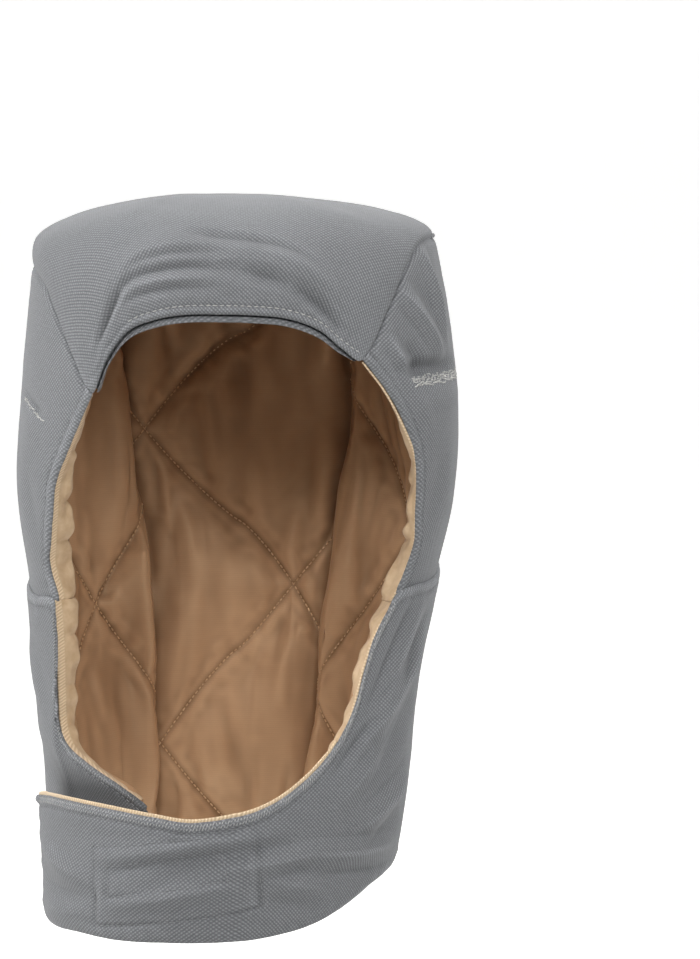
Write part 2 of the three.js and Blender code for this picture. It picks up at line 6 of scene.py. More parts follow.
import bpy
import numpy as np
from mathutils import Vector, noise
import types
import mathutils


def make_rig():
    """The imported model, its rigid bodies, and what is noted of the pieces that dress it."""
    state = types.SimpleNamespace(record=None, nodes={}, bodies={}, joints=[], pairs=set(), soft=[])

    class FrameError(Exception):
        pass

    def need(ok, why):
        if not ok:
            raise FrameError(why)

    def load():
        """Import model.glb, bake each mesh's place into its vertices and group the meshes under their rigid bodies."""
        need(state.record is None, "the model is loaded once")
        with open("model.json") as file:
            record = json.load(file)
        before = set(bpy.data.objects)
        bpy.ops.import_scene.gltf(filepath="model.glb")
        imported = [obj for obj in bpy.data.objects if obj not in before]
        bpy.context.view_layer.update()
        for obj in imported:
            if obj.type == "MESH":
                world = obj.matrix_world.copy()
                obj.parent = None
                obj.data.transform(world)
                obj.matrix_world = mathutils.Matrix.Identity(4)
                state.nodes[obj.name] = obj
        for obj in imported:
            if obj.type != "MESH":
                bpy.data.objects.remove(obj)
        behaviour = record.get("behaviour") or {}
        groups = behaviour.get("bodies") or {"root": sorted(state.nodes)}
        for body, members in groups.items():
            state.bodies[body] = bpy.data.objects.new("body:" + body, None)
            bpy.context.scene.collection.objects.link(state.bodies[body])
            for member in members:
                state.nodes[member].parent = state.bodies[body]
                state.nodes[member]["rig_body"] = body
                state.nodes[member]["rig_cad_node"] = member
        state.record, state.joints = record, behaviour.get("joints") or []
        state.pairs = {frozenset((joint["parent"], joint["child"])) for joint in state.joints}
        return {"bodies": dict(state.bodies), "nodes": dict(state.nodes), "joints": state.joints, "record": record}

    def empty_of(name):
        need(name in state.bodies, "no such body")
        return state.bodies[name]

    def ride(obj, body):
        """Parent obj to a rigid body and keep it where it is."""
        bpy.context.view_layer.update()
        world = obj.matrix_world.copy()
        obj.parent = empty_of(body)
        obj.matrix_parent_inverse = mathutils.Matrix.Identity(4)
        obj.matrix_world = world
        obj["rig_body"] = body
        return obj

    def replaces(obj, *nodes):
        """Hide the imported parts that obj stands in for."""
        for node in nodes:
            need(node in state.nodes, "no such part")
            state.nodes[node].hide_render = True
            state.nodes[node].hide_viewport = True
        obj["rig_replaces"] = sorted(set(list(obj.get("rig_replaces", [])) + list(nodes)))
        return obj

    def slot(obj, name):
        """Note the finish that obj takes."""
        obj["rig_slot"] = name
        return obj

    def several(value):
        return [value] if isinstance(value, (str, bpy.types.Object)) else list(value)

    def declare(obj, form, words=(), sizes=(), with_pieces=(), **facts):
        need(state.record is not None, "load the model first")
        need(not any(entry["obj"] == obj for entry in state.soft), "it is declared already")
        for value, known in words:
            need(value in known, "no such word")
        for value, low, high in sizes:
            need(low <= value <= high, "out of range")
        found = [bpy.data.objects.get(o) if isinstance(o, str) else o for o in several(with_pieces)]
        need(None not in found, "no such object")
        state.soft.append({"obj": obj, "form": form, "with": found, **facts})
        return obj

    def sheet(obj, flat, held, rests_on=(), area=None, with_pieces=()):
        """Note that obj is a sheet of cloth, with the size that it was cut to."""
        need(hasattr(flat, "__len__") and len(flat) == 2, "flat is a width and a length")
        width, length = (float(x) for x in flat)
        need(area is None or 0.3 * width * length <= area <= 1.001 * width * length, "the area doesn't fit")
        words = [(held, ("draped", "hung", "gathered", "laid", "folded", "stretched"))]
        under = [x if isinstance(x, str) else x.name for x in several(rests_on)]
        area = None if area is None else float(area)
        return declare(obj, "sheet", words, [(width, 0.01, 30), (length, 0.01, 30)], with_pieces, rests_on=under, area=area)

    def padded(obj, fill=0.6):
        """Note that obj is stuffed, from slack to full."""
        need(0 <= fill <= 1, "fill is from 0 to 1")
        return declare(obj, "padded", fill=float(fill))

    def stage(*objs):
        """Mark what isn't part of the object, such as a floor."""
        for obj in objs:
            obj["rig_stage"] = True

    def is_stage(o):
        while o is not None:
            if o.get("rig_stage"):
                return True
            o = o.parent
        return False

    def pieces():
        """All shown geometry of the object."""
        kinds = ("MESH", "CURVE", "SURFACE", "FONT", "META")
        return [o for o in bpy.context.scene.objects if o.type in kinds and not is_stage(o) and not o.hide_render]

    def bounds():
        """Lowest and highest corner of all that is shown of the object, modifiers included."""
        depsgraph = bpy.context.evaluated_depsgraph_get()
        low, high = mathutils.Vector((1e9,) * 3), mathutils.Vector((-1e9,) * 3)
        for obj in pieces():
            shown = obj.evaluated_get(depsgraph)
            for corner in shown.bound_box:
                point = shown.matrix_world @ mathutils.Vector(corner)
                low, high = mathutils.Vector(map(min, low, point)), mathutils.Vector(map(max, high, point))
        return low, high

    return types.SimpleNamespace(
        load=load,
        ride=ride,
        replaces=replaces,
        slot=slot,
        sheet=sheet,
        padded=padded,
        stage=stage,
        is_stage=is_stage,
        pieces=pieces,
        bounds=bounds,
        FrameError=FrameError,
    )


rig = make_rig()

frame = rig.load()
cad_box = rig.bounds()

# Side and back panel
# One cut of grey cotton twill from one edge of the face opening round the back of the head to the other.
# Its top is sewn into the crown seam, its foot runs under the neck band, and its front edges are turned in
# and stitched down. Four short stitched tucks take in its fullness.
MM = 0.001
TWILL = 1.6  # thickness with its turned seams


def table(columns, *rows):
    return dict(zip(columns.split(), np.array(rows, float).T))


# Half widths of the hood's level sections, and the exponent that squares their corners
SECTIONS = table(
    "z left right front back square",
    (8, 95, 94, 97, 97, 2.6),
    (-15, 100, 99, 102, 103, 2.6),
    (-45, 104, 105, 106, 109, 2.6),
    (-95, 109, 111, 110, 113, 2.5),
    (-145, 111, 109, 111, 112, 2.4),
    (-190, 105, 99, 108, 105, 2.3),
    (-240, 101, 89, 104, 96, 2.3),
    (-290, 98, 84, 102, 92, 2.3),
    (-330, 97, 77, 100, 91, 2.3),
    (-365, 96, 64, 96, 89, 2.3),
)
# Rim of the crown panel by angle: 0 at the front, 90 on the left, 180 behind, 270 on the right
CROWN_RIM = table(
    "theta z",
    (0, -47), (8, -47), (16, -49.5), (24, -55.5), (30, -68), (35.4, -85), (43, -69), (51, -53), (61, -37),
    (75, -30), (110, -21), (145, -13), (180, -8), (220, -10), (265, -13), (298, -15), (311, -26),
    (322, -47), (332, -69), (338, -64), (344, -55), (352, -49), (360, -47),
)
SEAM_FROM, SEAM_TO = 35.4, 332  # the crown seam; the rest of the rim is the brow edge
# Edges of the face opening by height, and the width of the padded edge behind each
OPENING = table(
    "z left right left_pad right_pad",
    (-69, 33, 332, 4, 4),
    (-85, 35.4, 324, 4, 4.5),
    (-100, 40, 318, 6.5, 5),
    (-115, 45, 313, 8.5, 5.5),
    (-130, 50, 311, 10.5, 6),
    (-145, 52, 310, 12, 6.5),
    (-160, 55, 308, 12.5, 7.5),
    (-172, 58, 309, 12.5, 9),
    (-185, 56, 312, 11.5, 9),
    (-200, 56, 319, 10, 7),
    (-220, 57, 323, 9.5, 5.5),
    (-237, 59, 325, 9, 5),
    (-252, 60, 329, 8, 5),
    (-262, 57, 335, 7, 5),
    (-270, 48, 340, 6, 5),
    (-278, 37, 347, 5.5, 5),
    (-286, 28, 355, 5, 5),
)
LAP_SEAM = table(
    "theta z", (56, -189), (90, -188), (130, -174), (180, -159), (230, -170), (270, -181), (312, -184)
)
LAP = 10  # how far the panel runs under the neck band
NECK_TUCK = 8  # the band's end under the flap is pressed in towards the neck
NECK_TUCK_ANGLE, NECK_TUCK_DEPTH = (-96, -74), (258, 290)  # over which that sets in, by -theta and -z
ARC = math.radians(100)  # millimetres round the head for one degree
# Folds of the panel and the band: ridges and valleys between two places, from soft, 0, to creased, 1
SHELL_FOLDS = table(
    "theta0 rise0 theta1 rise1 height width crease",
    (317, -35, 296, -69, 4.4, 5, 1),
    (301, -16, 290.5, -62, 3.8, 5, 1),
    (309, -32, 298, -50, -1.6, 5, 0.2),
    (323, -58, 315, -82, 3.4, 3.6, 1),
    (315, -85, 306, -106, 1.3, 4, 0.8),
    (316, -62, 306, -76, -4.0, 5, 0.3),
    (319, -75.8, 287, -75.6, -6.5, 4.4, 0.1),
    (314, -92, 282, -91, 2.0, 8, 0),
    (56, -98, 72, -89.5, -1.8, 3, 0.3),
    (58, -111, 72, -103, 0.8, 8, 0),
    (112, -87.5, 136, -85.5, -2.6, 3.2, 0.3),
    (112, -101, 136, -99, 1.6, 8, 0),
    (224, -85.5, 248, -87.5, -2.6, 3.2, 0.3),
    (224, -99, 248, -101, 1.6, 8, 0),
    (298, -116, 304, -150, -1.6, 9, 0.2),
    (66, -128, 62, -160, -1.4, 9, 0.2),
    (305, -190, 320, -240, -2.4, 3.4, 0.6),
    (298, -194, 312, -238, 2.4, 4, 0.9),
    (292, -198, 305, -240, -2.2, 4.5, 0.5),
    (316, -243, 333, -272, -2.4, 3.4, 0.6),
    (310, -260, 330, -286, 2.4, 5, 0.9),
    (290, -217, 318, -254, 5.2, 7, 1),
    (288, -238, 312, -271, -2.6, 9, 0.3),
    (289, -281, 319, -300, 5.2, 7, 1),
    (290, -299, 318, -311, -2.2, 8, 0.2),
    (299, -315, 338, -309, 4.0, 6, 0.9),
    (300, -324, 338, -318, -2.6, 6, 0.2),
    (336, -307.5, 360, -314, 3.0, 5, 0.8),
    (338, -315, 360, -322, -2.6, 4.5, 0.3),
    (384, -301, 424, -306, -1.2, 8, 0.2),
    (398, -338, 428, -318, 1.0, 8, 0.4),
    (437, -298, 440, -290, 2.4, 10, 0),
    (398, -319.5, 348, -302, -3.2, 4.4, 0.4),
    (396, -312, 348, -296, 2.0, 4.5, 0.3),
    (391, -325, 362, -312, -1.8, 5, 0.1),
    (396, -336, 358, -322, 2.4, 4, 0.3),
    (436, -315, 400, -326, 2.4, 5, 0.5),
    (434, -334, 402, -334, -2.0, 5, 0.2),
    (430, -349, 401, -341, 1.8, 5, 0.4),
    (359, -318, 334, -326, 2.2, 5, 0.5),
    (354, -330, 332, -336, -2.0, 5, 0.2),
    (84, -214, 70, -246, 2.0, 9, 0.4),
    (140, -215, 168, -236, 1.2, 12, 0.1),
    (232, -212, 204, -240, 1.2, 12, 0.1),
)


def mix(a, b, t):
    return a + (b - a) * t


def ease(x, low, high):
    t = np.clip((x - low) / (high - low), 0, 1)
    return t * t * (3 - 2 * t)


def bump(x, centre, width):
    return np.exp(-(((x - centre) / width) ** 2))


def curve(rows, key, value):
    """Smooth curve through one column of a table, read by another column."""
    order = np.argsort(rows[key])
    x, y = rows[key][order], rows[value][order]
    place = np.arange(len(x))
    after, before = np.minimum(place + 1, len(x) - 1), np.maximum(place - 1, 0)
    slope = (y[after] - y[before]) / (x[after] - x[before])

    def at(q):
        q = np.clip(q, x[0], x[-1])
        i = np.clip(np.searchsorted(x, q) - 1, 0, len(x) - 2)
        step = x[i + 1] - x[i]
        t = (q - x[i]) / step
        held = y[i] * (1 + 2 * t) * (1 - t) ** 2 + y[i + 1] * (3 - 2 * t) * t**2
        return held + step * (slope[i] * t * (1 - t) ** 2 - slope[i + 1] * t**2 * (1 - t))

    return at


section = {column: curve(SECTIONS, "z", column) for column in SECTIONS}
opening = {column: curve(OPENING, "z", column) for column in OPENING}
rim_z = curve(CROWN_RIM, "theta", "z")
lap_z = curve(LAP_SEAM, "theta", "z")


def seam_z(theta):
    return rim_z(np.clip(theta, SEAM_FROM, SEAM_TO))


def body(theta, z, out=0.0):
    """Points on the hood at an angle and a height, a distance outside its level section."""
    tucked = np.where(theta < 180, ease(-theta, *NECK_TUCK_ANGLE), 0) * ease(-z, *NECK_TUCK_DEPTH)
    square = section["square"](z)
    sine, cosine = np.sin(np.radians(theta)), np.cos(np.radians(theta))
    wide = np.where(sine > 0, section["left"](z), section["right"](z))
    deep = np.where(cosine > 0, section["front"](z), section["back"](z))
    across = -np.sign(sine) * np.abs(sine) ** (2 / square)
    along = -np.sign(cosine) * np.abs(cosine) ** (2 / square)
    lean_x = np.sign(across) * np.abs(across) ** (square - 1) / wide
    lean_y = np.sign(along) * np.abs(along) ** (square - 1) / deep
    out = (out - NECK_TUCK * tucked) / np.hypot(lean_x, lean_y)
    return np.stack([across * wide + out * lean_x, along * deep + out * lean_y, z + 0 * theta], axis=-1)


CREASE_REACH = 1.6  # half the breadth of a straight-sided crease, in widths


def folds(rows, theta, rise, fade=0.75):
    """Height of a table's folds at an angle and a height. With a fade of 1 they die out at both ends."""
    total = np.zeros_like(theta)
    for theta0, rise0, theta1, rise1, height, width, crease in zip(*rows.values()):
        run_x, run_y = (theta1 - theta0) * ARC, rise1 - rise0
        x, y = (theta - theta0) * ARC, rise - rise0
        t = np.clip((x * run_x + y * run_y) / (run_x**2 + run_y**2), 0, 1)
        away = np.hypot(x - t * run_x, y - t * run_y) / width
        height *= 1 - fade * (2 * t - 1) ** 2
        total += height * mix(np.exp(-(away**2)), np.maximum(1 - away / CREASE_REACH, 0), crease)
    return total


GRID_THETA, GRID_Z = 180.0, -190.0  # the search for a grid starts at the back of the hood
GRID_ROUNDS, GRID_STEP = 24, 0.6


def between(left, right, low, high, across, up):
    """Angle and height over a grid whose sides depend on height, and whose foot and top depend on angle."""
    u, v = np.meshgrid(across, up)
    theta, z = np.full_like(u, GRID_THETA), np.full_like(u, GRID_Z)
    for _ in range(GRID_ROUNDS):
        theta = mix(theta, mix(left(z), right(z), u), GRID_STEP)
        z = mix(z, mix(low(theta), high(theta), v), GRID_STEP)
    return theta, z


def normals(points, ring=False):
    up = np.gradient(points, axis=0)
    along = np.roll(points, -1, axis=1) - np.roll(points, 1, axis=1) if ring else np.gradient(points, axis=1)
    out = np.cross(up, along)
    if ring:
        out[-1] = (0, 0, 1)
    return out / np.linalg.norm(out, axis=-1, keepdims=True)


def edge_distances(points):
    """Distance over the cloth from its foot, its top, its first side and its last side."""
    up = np.cumsum(np.linalg.norm(np.diff(points, axis=0, prepend=points[:1]), axis=-1), axis=0)
    along = np.cumsum(np.linalg.norm(np.diff(points, axis=1, prepend=points[:, :1]), axis=-1), axis=1)
    return up, up[-1:] - up, along, along[:, -1:] - along


def uneven(points, size, seed):
    """Smooth noise at points, from about -0.5 to 0.5."""
    shift = Vector((seed, 0, 0))
    values = [noise.noise(Vector(p) / size + shift) for p in points.reshape(-1, 3)]
    return np.array(values).reshape(points.shape[:-1])


SWELL, FINE_SWELL = 0.5, 0.2


def slack(points, size, fine_size, seed):
    """Unevenness of cloth that nothing stretches: wide swells with finer ones on them."""
    return SWELL * uneven(points, size, seed) + FINE_SWELL * uneven(points, fine_size, seed + 1)


PUCKER, PUCKER_SIZE = 0.45, 5
PUCKER_OFF, PUCKER_SPREAD = 5, 6  # where puckers are strongest, from the edge, and how far they spread


def puckers(points, off, seed):
    """Small gathers of the cloth beside a row of stitches."""
    return PUCKER * uneven(points, PUCKER_SIZE, seed) * bump(off, PUCKER_OFF, PUCKER_SPREAD)


STITCH_DIP = 0.5


def turned_edge(off, roll, roll_at, roll_width, fall, nip, stitched=None):
    """Section of a turned edge: its roll, its fall at the very edge, and the dip of its stitches."""
    shape = roll * bump(off, roll_at, roll_width) - fall * bump(off, 0, nip)
    return shape if stitched is None else shape - STITCH_DIP * bump(off, stitched, nip)


def cut(points):
    """Greatest width and length of a piece's flat cut and its area, from its smooth grid."""
    foot, _, first, _ = edge_distances(points)
    across = np.cross(points[1:, 1:] - points[:-1, :-1], points[1:, :-1] - points[:-1, 1:])
    area = np.linalg.norm(across, axis=-1).sum() / 2
    return {"flat": (first[:, -1].max() * MM, foot[-1].max() * MM), "area": area * MM**2}


def crests(points, ring, span):
    """How far each point stands out from the cloth some cells away, in millimetres."""
    rows, columns = np.indices(points.shape[:2])
    around = np.zeros_like(points)
    for up, over in ((span, 0), (-span, 0), (0, span), (0, -span)):
        over = (columns + over) % columns.shape[1] if ring else np.clip(columns + over, 0, columns.max())
        around += points[np.clip(rows + up, 0, rows.max()), over] / 4
    return ((points - around) * normals(points, ring)).sum(axis=-1)


def sew(name, outer, inner, weave, ring=False, bulge=1.0, span=2, painted_shade_depth=0):
    """Closed piece of cloth between an outer and an inner grid, with a rounded edge. A ring closes on itself
    and its last row is one point. Painted shade lowers its crest attribute by so many millimetres."""
    rows, columns = outer.shape[:2]
    count = (rows - 1) * columns + 1 if ring else rows * columns
    ids = np.arange(rows * columns).reshape(rows, columns)
    if ring:
        ids[-1] = count - 1
        edge = np.arange(columns)
        steps = outer[0] - outer[1]
    else:
        edge = np.concatenate([ids[0], ids[1:, -1], ids[-1, -2::-1], ids[-2:0:-1, 0]])
        j, i = np.divmod(edge, columns)
        steps = outer[j, i] - outer[np.clip(j, 1, rows - 2), np.clip(i, 1, columns - 2)]
    steps /= np.linalg.norm(steps, axis=-1, keepdims=True)
    skins = [grid.reshape(-1, 3)[:count] for grid in (outer, inner)]
    threads = weave.reshape(-1, 2)[:count]
    middle = (skins[0][edge] + skins[1][edge]) / 2
    half = skins[0][edge] - middle
    reach = steps * np.linalg.norm(half, axis=-1, keepdims=True) * bulge
    turns = np.radians([45, 90, 135])
    rims = [middle + half * np.cos(turn) + reach * np.sin(turn) for turn in turns]
    points = np.concatenate([*skins, *rims]) * MM

    if ring:
        ids = np.concatenate([ids, ids[:, :1]], axis=1)
    corners = [ids[:-1, :-1], ids[1:, :-1], ids[1:, 1:], ids[:-1, 1:]]
    cells = np.stack([c.ravel() for c in corners], axis=-1)
    turned = [2 * count + k * len(edge) + np.arange(len(edge)) for k in range(len(rims))]
    rings = [edge, *turned, edge + count]
    strips = [
        np.stack([a, np.roll(a, -1), np.roll(b, -1), b], axis=-1) for a, b in zip(rings[:-1], rings[1:])
    ]
    faces = np.concatenate([cells, cells[:, ::-1] + count, *strips]).tolist()
    if ring:
        faces = [list(dict.fromkeys(face)) for face in faces]

    mesh = bpy.data.meshes.new(name)
    mesh.from_pydata(points.tolist(), [], faces)
    mesh.shade_smooth()
    threads = np.concatenate([threads, threads, *[threads[edge]] * len(rims)]) * MM
    corner = np.zeros(len(mesh.loops), dtype=np.int32)
    mesh.loops.foreach_get("vertex_index", corner)
    mesh.uv_layers.new(name="weave").data.foreach_set("uv", threads[corner].astype(np.float32).ravel())
    # The crest attribute: how far the cloth stands out, less the given depth of painted shade
    stand = (crests(outer, ring, span) - painted_shade_depth).ravel()[:count]
    within = (-crests(inner, ring, span) - painted_shade_depth).ravel()[:count]
    stand = np.concatenate([stand, within, *[stand[edge]] * len(rims)])
    mesh.attributes.new("crest_and_shade", "FLOAT", "POINT").data.foreach_set("value", stand.astype(np.float32))
    piece = bpy.data.objects.new(name, mesh)
    bpy.context.scene.collection.objects.link(piece)
    return piece


def node(tree, kind, inputs=(), **settings):
    """Adds a node with its settings, and with values or links on its inputs."""
    made = tree.nodes.new(kind)
    for key, value in settings.items():
        setattr(made, key, value)
    for key, value in dict(inputs).items():
        if isinstance(value, bpy.types.NodeSocket):
            tree.links.new(value, made.inputs[key])
        else:
            made.inputs[key].default_value = value
    return made


def srgb(code):
    """Linear colour of an sRGB hex value."""
    parts = [int(code[i : i + 2], 16) / 255 for i in (0, 2, 4)]
    return (*(c / 12.92 if c <= 0.04045 else ((c + 0.055) / 1.055) ** 2.4 for c in parts), 1.0)


# Cotton twill: dull yarns in dotted diagonal ribs. The ribs are drawn at 1.5 mm, about twice their real
# pitch, so that they show. Where the cloth turns, one of its two diagonals catches the light. Creases that
# stand up are drawn paler, partly as rubbed wear and partly as a painted highlight, and those that lie deep, and the
# band's end under the flap, are darkened as painted shade.
twill = bpy.data.materials.new("cotton_twill")
twill.use_nodes = True
tree = twill.node_tree
RIB_PITCH = 1.5
WAVE = math.tau / 20  # period of a wave texture of scale 1
weave_map = node(tree, "ShaderNodeUVMap", uv_map="weave").outputs["UV"]
place = node(tree, "ShaderNodeTexCoord").outputs["Object"]
ribs = []
for slant in (-52, 48):
    turned = node(
        tree,
        "ShaderNodeMapping",
        {"Vector": weave_map, "Rotation": (0, 0, math.radians(slant)), "Scale": (WAVE / RIB_PITCH / MM,) * 3},
    )
    waves = node(
        tree,
        "ShaderNodeTexWave",
        {"Vector": turned.outputs[0], "Scale": 1.0, "Distortion": 1.3, "Detail": 1.0, "Detail Scale": 3.0},
    )
    ribs.append(waves.outputs["Fac"])
sway = node(tree, "ShaderNodeTexNoise", {"Vector": place, "Scale": 14.0, "Detail": 1.0})
side = node(tree, "ShaderNodeMapRange", {"Value": sway.outputs["Fac"], "From Min": 0.42, "From Max": 0.58})
rib = node(
    tree, "ShaderNodeMix", {"Factor": side.outputs[0], "A": ribs[0], "B": ribs[1]}, data_type="FLOAT"
).outputs[0]
dots = node(tree, "ShaderNodeMath", {0: ribs[0], 1: ribs[1]}, operation="MULTIPLY").outputs[0]
yarns = node(tree, "ShaderNodeMix", {"Factor": 0.7, "A": rib, "B": dots}, data_type="FLOAT").outputs[0]
fluff = node(tree, "ShaderNodeTexNoise", {"Vector": place, "Scale": 900.0, "Detail": 2.0}).outputs["Fac"]
grain = node(tree, "ShaderNodeMix", {"Factor": 0.3, "A": yarns, "B": fluff}, data_type="FLOAT").outputs[0]
yarn = node(
    tree,
    "ShaderNodeMix",
    {"Factor": grain, "A": srgb("585a5c"), "B": srgb("9c9da0")},
    data_type="RGBA",
).outputs["Result"]
crest_and_shade = node(tree, "ShaderNodeAttribute", attribute_name="crest_and_shade").outputs["Fac"]
# Painted highlight and rubbed wear: crests that stand out are drawn up to 1.22 times paler
rubbed_and_highlit = node(
    tree,
    "ShaderNodeMapRange",
    {"Value": crest_and_shade, "From Min": 0.12, "From Max": 0.6, "To Min": 1, "To Max": 1.22},
).outputs[0]
# Painted shade: creases, and cloth whose crest attribute is lowered as painted shade, darken to a quarter
deep = node(
    tree,
    "ShaderNodeMapRange",
    {"Value": crest_and_shade, "From Min": -2.2, "From Max": 0, "To Min": 0.25, "To Max": 1},
).outputs[0]
cloud = node(tree, "ShaderNodeTexNoise", {"Vector": place, "Scale": 22.0, "Detail": 4.0}).outputs["Fac"]
shade = node(tree, "ShaderNodeMapRange", {"Value": cloud, "To Min": 0.9, "To Max": 1.1}).outputs[0]
# Crest shade and highlight, mostly painted light, times the random cloud tone
crease_shade_and_rub = node(tree, "ShaderNodeMath", {0: deep, 1: rubbed_and_highlit}, operation="MULTIPLY").outputs[0]
tone_rub_and_shade = node(tree, "ShaderNodeMath", {0: shade, 1: crease_shade_and_rub}, operation="MULTIPLY").outputs[0]
tint = node(tree, "ShaderNodeHueSaturation", {"Color": yarn, "Value": tone_rub_and_shade}).outputs[0]
relief = node(tree, "ShaderNodeBump", {"Strength": 0.35, "Distance": 0.4 * MM, "Height": grain}).outputs[0]
shader = tree.nodes["Principled BSDF"]
shader.inputs["Roughness"].default_value = 0.85
shader.inputs["Sheen Weight"].default_value = 0.1
shader.inputs["Sheen Roughness"].default_value = 0.5
shader.inputs["Specular IOR Level"].default_value = 0.25
tree.links.new(tint, shader.inputs["Base Color"])
tree.links.new(relief, shader.inputs["Normal"])


def thread(name, dark, light):
    """Spun polyester thread: a dull twist, lighter on some stitches than on others."""
    made = bpy.data.materials.new(name)
    made.use_nodes = True
    tree = made.node_tree
    place = node(tree, "ShaderNodeTexCoord").outputs["Object"]
    twist = node(tree, "ShaderNodeTexNoise", {"Vector": place, "Scale": 420.0, "Detail": 2.0}).outputs["Fac"]
    colour = node(
        tree, "ShaderNodeMix", {"Factor": twist, "A": srgb(dark), "B": srgb(light)}, data_type="RGBA"
    )
    shader = tree.nodes["Principled BSDF"]
    shader.inputs["Roughness"].default_value = 0.6
    tree.links.new(colour.outputs["Result"], shader.inputs["Base Color"])
    return made


grey_thread = thread("grey_thread", "6c6e70", "9b9c9d")
pale_thread = thread("pale_thread", "8a8b8d", "d2d0ca")

# A row of stitches: short thick beads of thread along a seam, a little uneven in length
running_stitch = bpy.data.node_groups.new("running_stitch", "GeometryNodeTree")
for socket, kind in (
    ("Seam", "Geometry"),
    ("Pitch", "Float"),
    ("Length", "Float"),
    ("Thickness", "Float"),
    ("Thread", "Material"),
):
    running_stitch.interface.new_socket(socket, in_out="INPUT", socket_type=f"NodeSocket{kind}")
running_stitch.interface.new_socket("Stitches", in_out="OUTPUT", socket_type="NodeSocketGeometry")
given = node(running_stitch, "NodeGroupInput").outputs
seam = node(running_stitch, "GeometryNodeMeshToCurve", {"Mesh": given["Seam"]}).outputs[0]
needle = node(
    running_stitch, "GeometryNodeResampleCurve", {"Curve": seam, "Length": given["Pitch"]}, mode="LENGTH"
).outputs[0]
heading = node(running_stitch, "GeometryNodeInputTangent").outputs[0]
turned = node(running_stitch, "FunctionNodeAlignRotationToVector", {"Vector": heading}, axis="X").outputs[0]
# Inputs 2 and 3 are the least and the most of a plain number
pull = node(
    running_stitch, "FunctionNodeRandomValue", {2: 0.85, 3: 1.1, "Seed": 7}, data_type="FLOAT"
).outputs[1]
length = node(
    running_stitch, "ShaderNodeMath", {0: given["Length"], 1: pull}, operation="MULTIPLY"
).outputs[0]
size = node(
    running_stitch, "ShaderNodeCombineXYZ", {"X": length, "Y": given["Thickness"], "Z": given["Thickness"]}
).outputs[0]
bead = node(running_stitch, "GeometryNodeMeshUVSphere", {"Segments": 6, "Rings": 5, "Radius": 0.5}).outputs[0]
beads = node(
    running_stitch,
    "GeometryNodeInstanceOnPoints",
    {"Points": needle, "Instance": bead, "Rotation": turned, "Scale": size},
).outputs[0]
row = node(running_stitch, "GeometryNodeRealizeInstances", {"Geometry": beads}).outputs[0]
smooth = node(running_stitch, "GeometryNodeSetShadeSmooth", {"Geometry": row}).outputs[0]
dyed = node(running_stitch, "GeometryNodeSetMaterial", {"Geometry": smooth, "Material": given["Thread"]})
node(running_stitch, "NodeGroupOutput", {"Stitches": dyed.outputs[0]})


def stitch(name, seams, material, pitch=3.2, length=2.5, thickness=0.55):
    """Rows of stitches along seams, as one piece."""
    points = np.concatenate(seams) * MM
    starts = np.cumsum([0, *(len(seam) for seam in seams)])
    edges = [(i, i + 1) for a, b in zip(starts[:-1], starts[1:]) for i in range(a, b - 1)]
    mesh = bpy.data.meshes.new(name)
    mesh.from_pydata(points.tolist(), edges, [])
    piece = bpy.data.objects.new(name, mesh)
    bpy.context.scene.collection.objects.link(piece)
    modifier = piece.modifiers.new("stitches", "NODES")
    modifier.node_group = running_stitch
    sizes = {"Pitch": pitch * MM, "Length": length * MM, "Thickness": thickness * MM, "Thread": material}
    for socket in running_stitch.interface.items_tree:
        if socket.name in sizes:
            modifier[socket.identifier] = sizes[socket.name]
    sewn = piece.evaluated_get(bpy.context.evaluated_depsgraph_get())
    made = bpy.data.meshes.new_from_object(sewn)
    piece.modifiers.clear()
    piece.data = made
    made.name = name
    bpy.data.meshes.remove(mesh)
    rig.ride(piece, "root")
    return piece


def where(lines, values, level):
    """Where the lines of a grid reach a level of a value that rises or falls along each of them."""
    found = []
    for points, value in zip(lines, values):
        if value[0] > value[-1]:
            points, value = points[::-1], value[::-1]
        if value[0] < level < value[-1]:
            found.append([np.interp(level, value, points[:, axis]) for axis in range(3)])
    return np.array(found)


STUB = 0.02  # share of a stitch that is a seam of its own, too short for a second bead


def overcast(name, edge, inside, material, pitch=1.5):
    """Slanting stitches over an edge, between its line and a line inside it."""
    far = np.cumsum(np.linalg.norm(np.diff(edge, axis=0, prepend=edge[:1]), axis=-1))
    stops = np.arange(pitch, far[-1] - 2 * pitch, pitch)
    ends = [
        np.stack([np.interp(stops + lead, far, line[:, axis]) for axis in range(3)], axis=-1)
        for line, lead in ((edge, 0), (inside, pitch))
    ]
    middle, along = (ends[0] + ends[1]) / 2, ends[1] - ends[0]
    length = np.linalg.norm(along, axis=-1).mean()
    steps = [np.stack([place, place + STUB * step]) for place, step in zip(middle, along)]
    return stitch(name, steps, material, pitch=far[-1], length=length, thickness=0.5)


THREAD_LIFT = 0.15
EDGE_STITCH = 5  # from the turned edge of the face opening
LAP_TAPER = 9  # the lap narrows to nothing over this stretch of angle at the front edges
SEAM_GAP = 0.3  # between the top of the panel and the rim of the crown
SEAM_CALM = (-3, 9)  # folds die out over this distance from the crown seam
SEAM_ROLL, SEAM_ROLL_WIDTH, SEAM_ROLL_END = 1.4, 2, 10


def side_out(theta, z):
    """How far the side panel stands out from the smooth hood."""
    return folds(SHELL_FOLDS, theta, z) + slack(body(theta, z), 38, 13, seed=1)


def panel_foot(theta):
    from_front = np.minimum(theta - LAP_SEAM["theta"][0], LAP_SEAM["theta"][-1] - theta)
    return lap_z(theta) - LAP * ease(from_front, 0, LAP_TAPER)


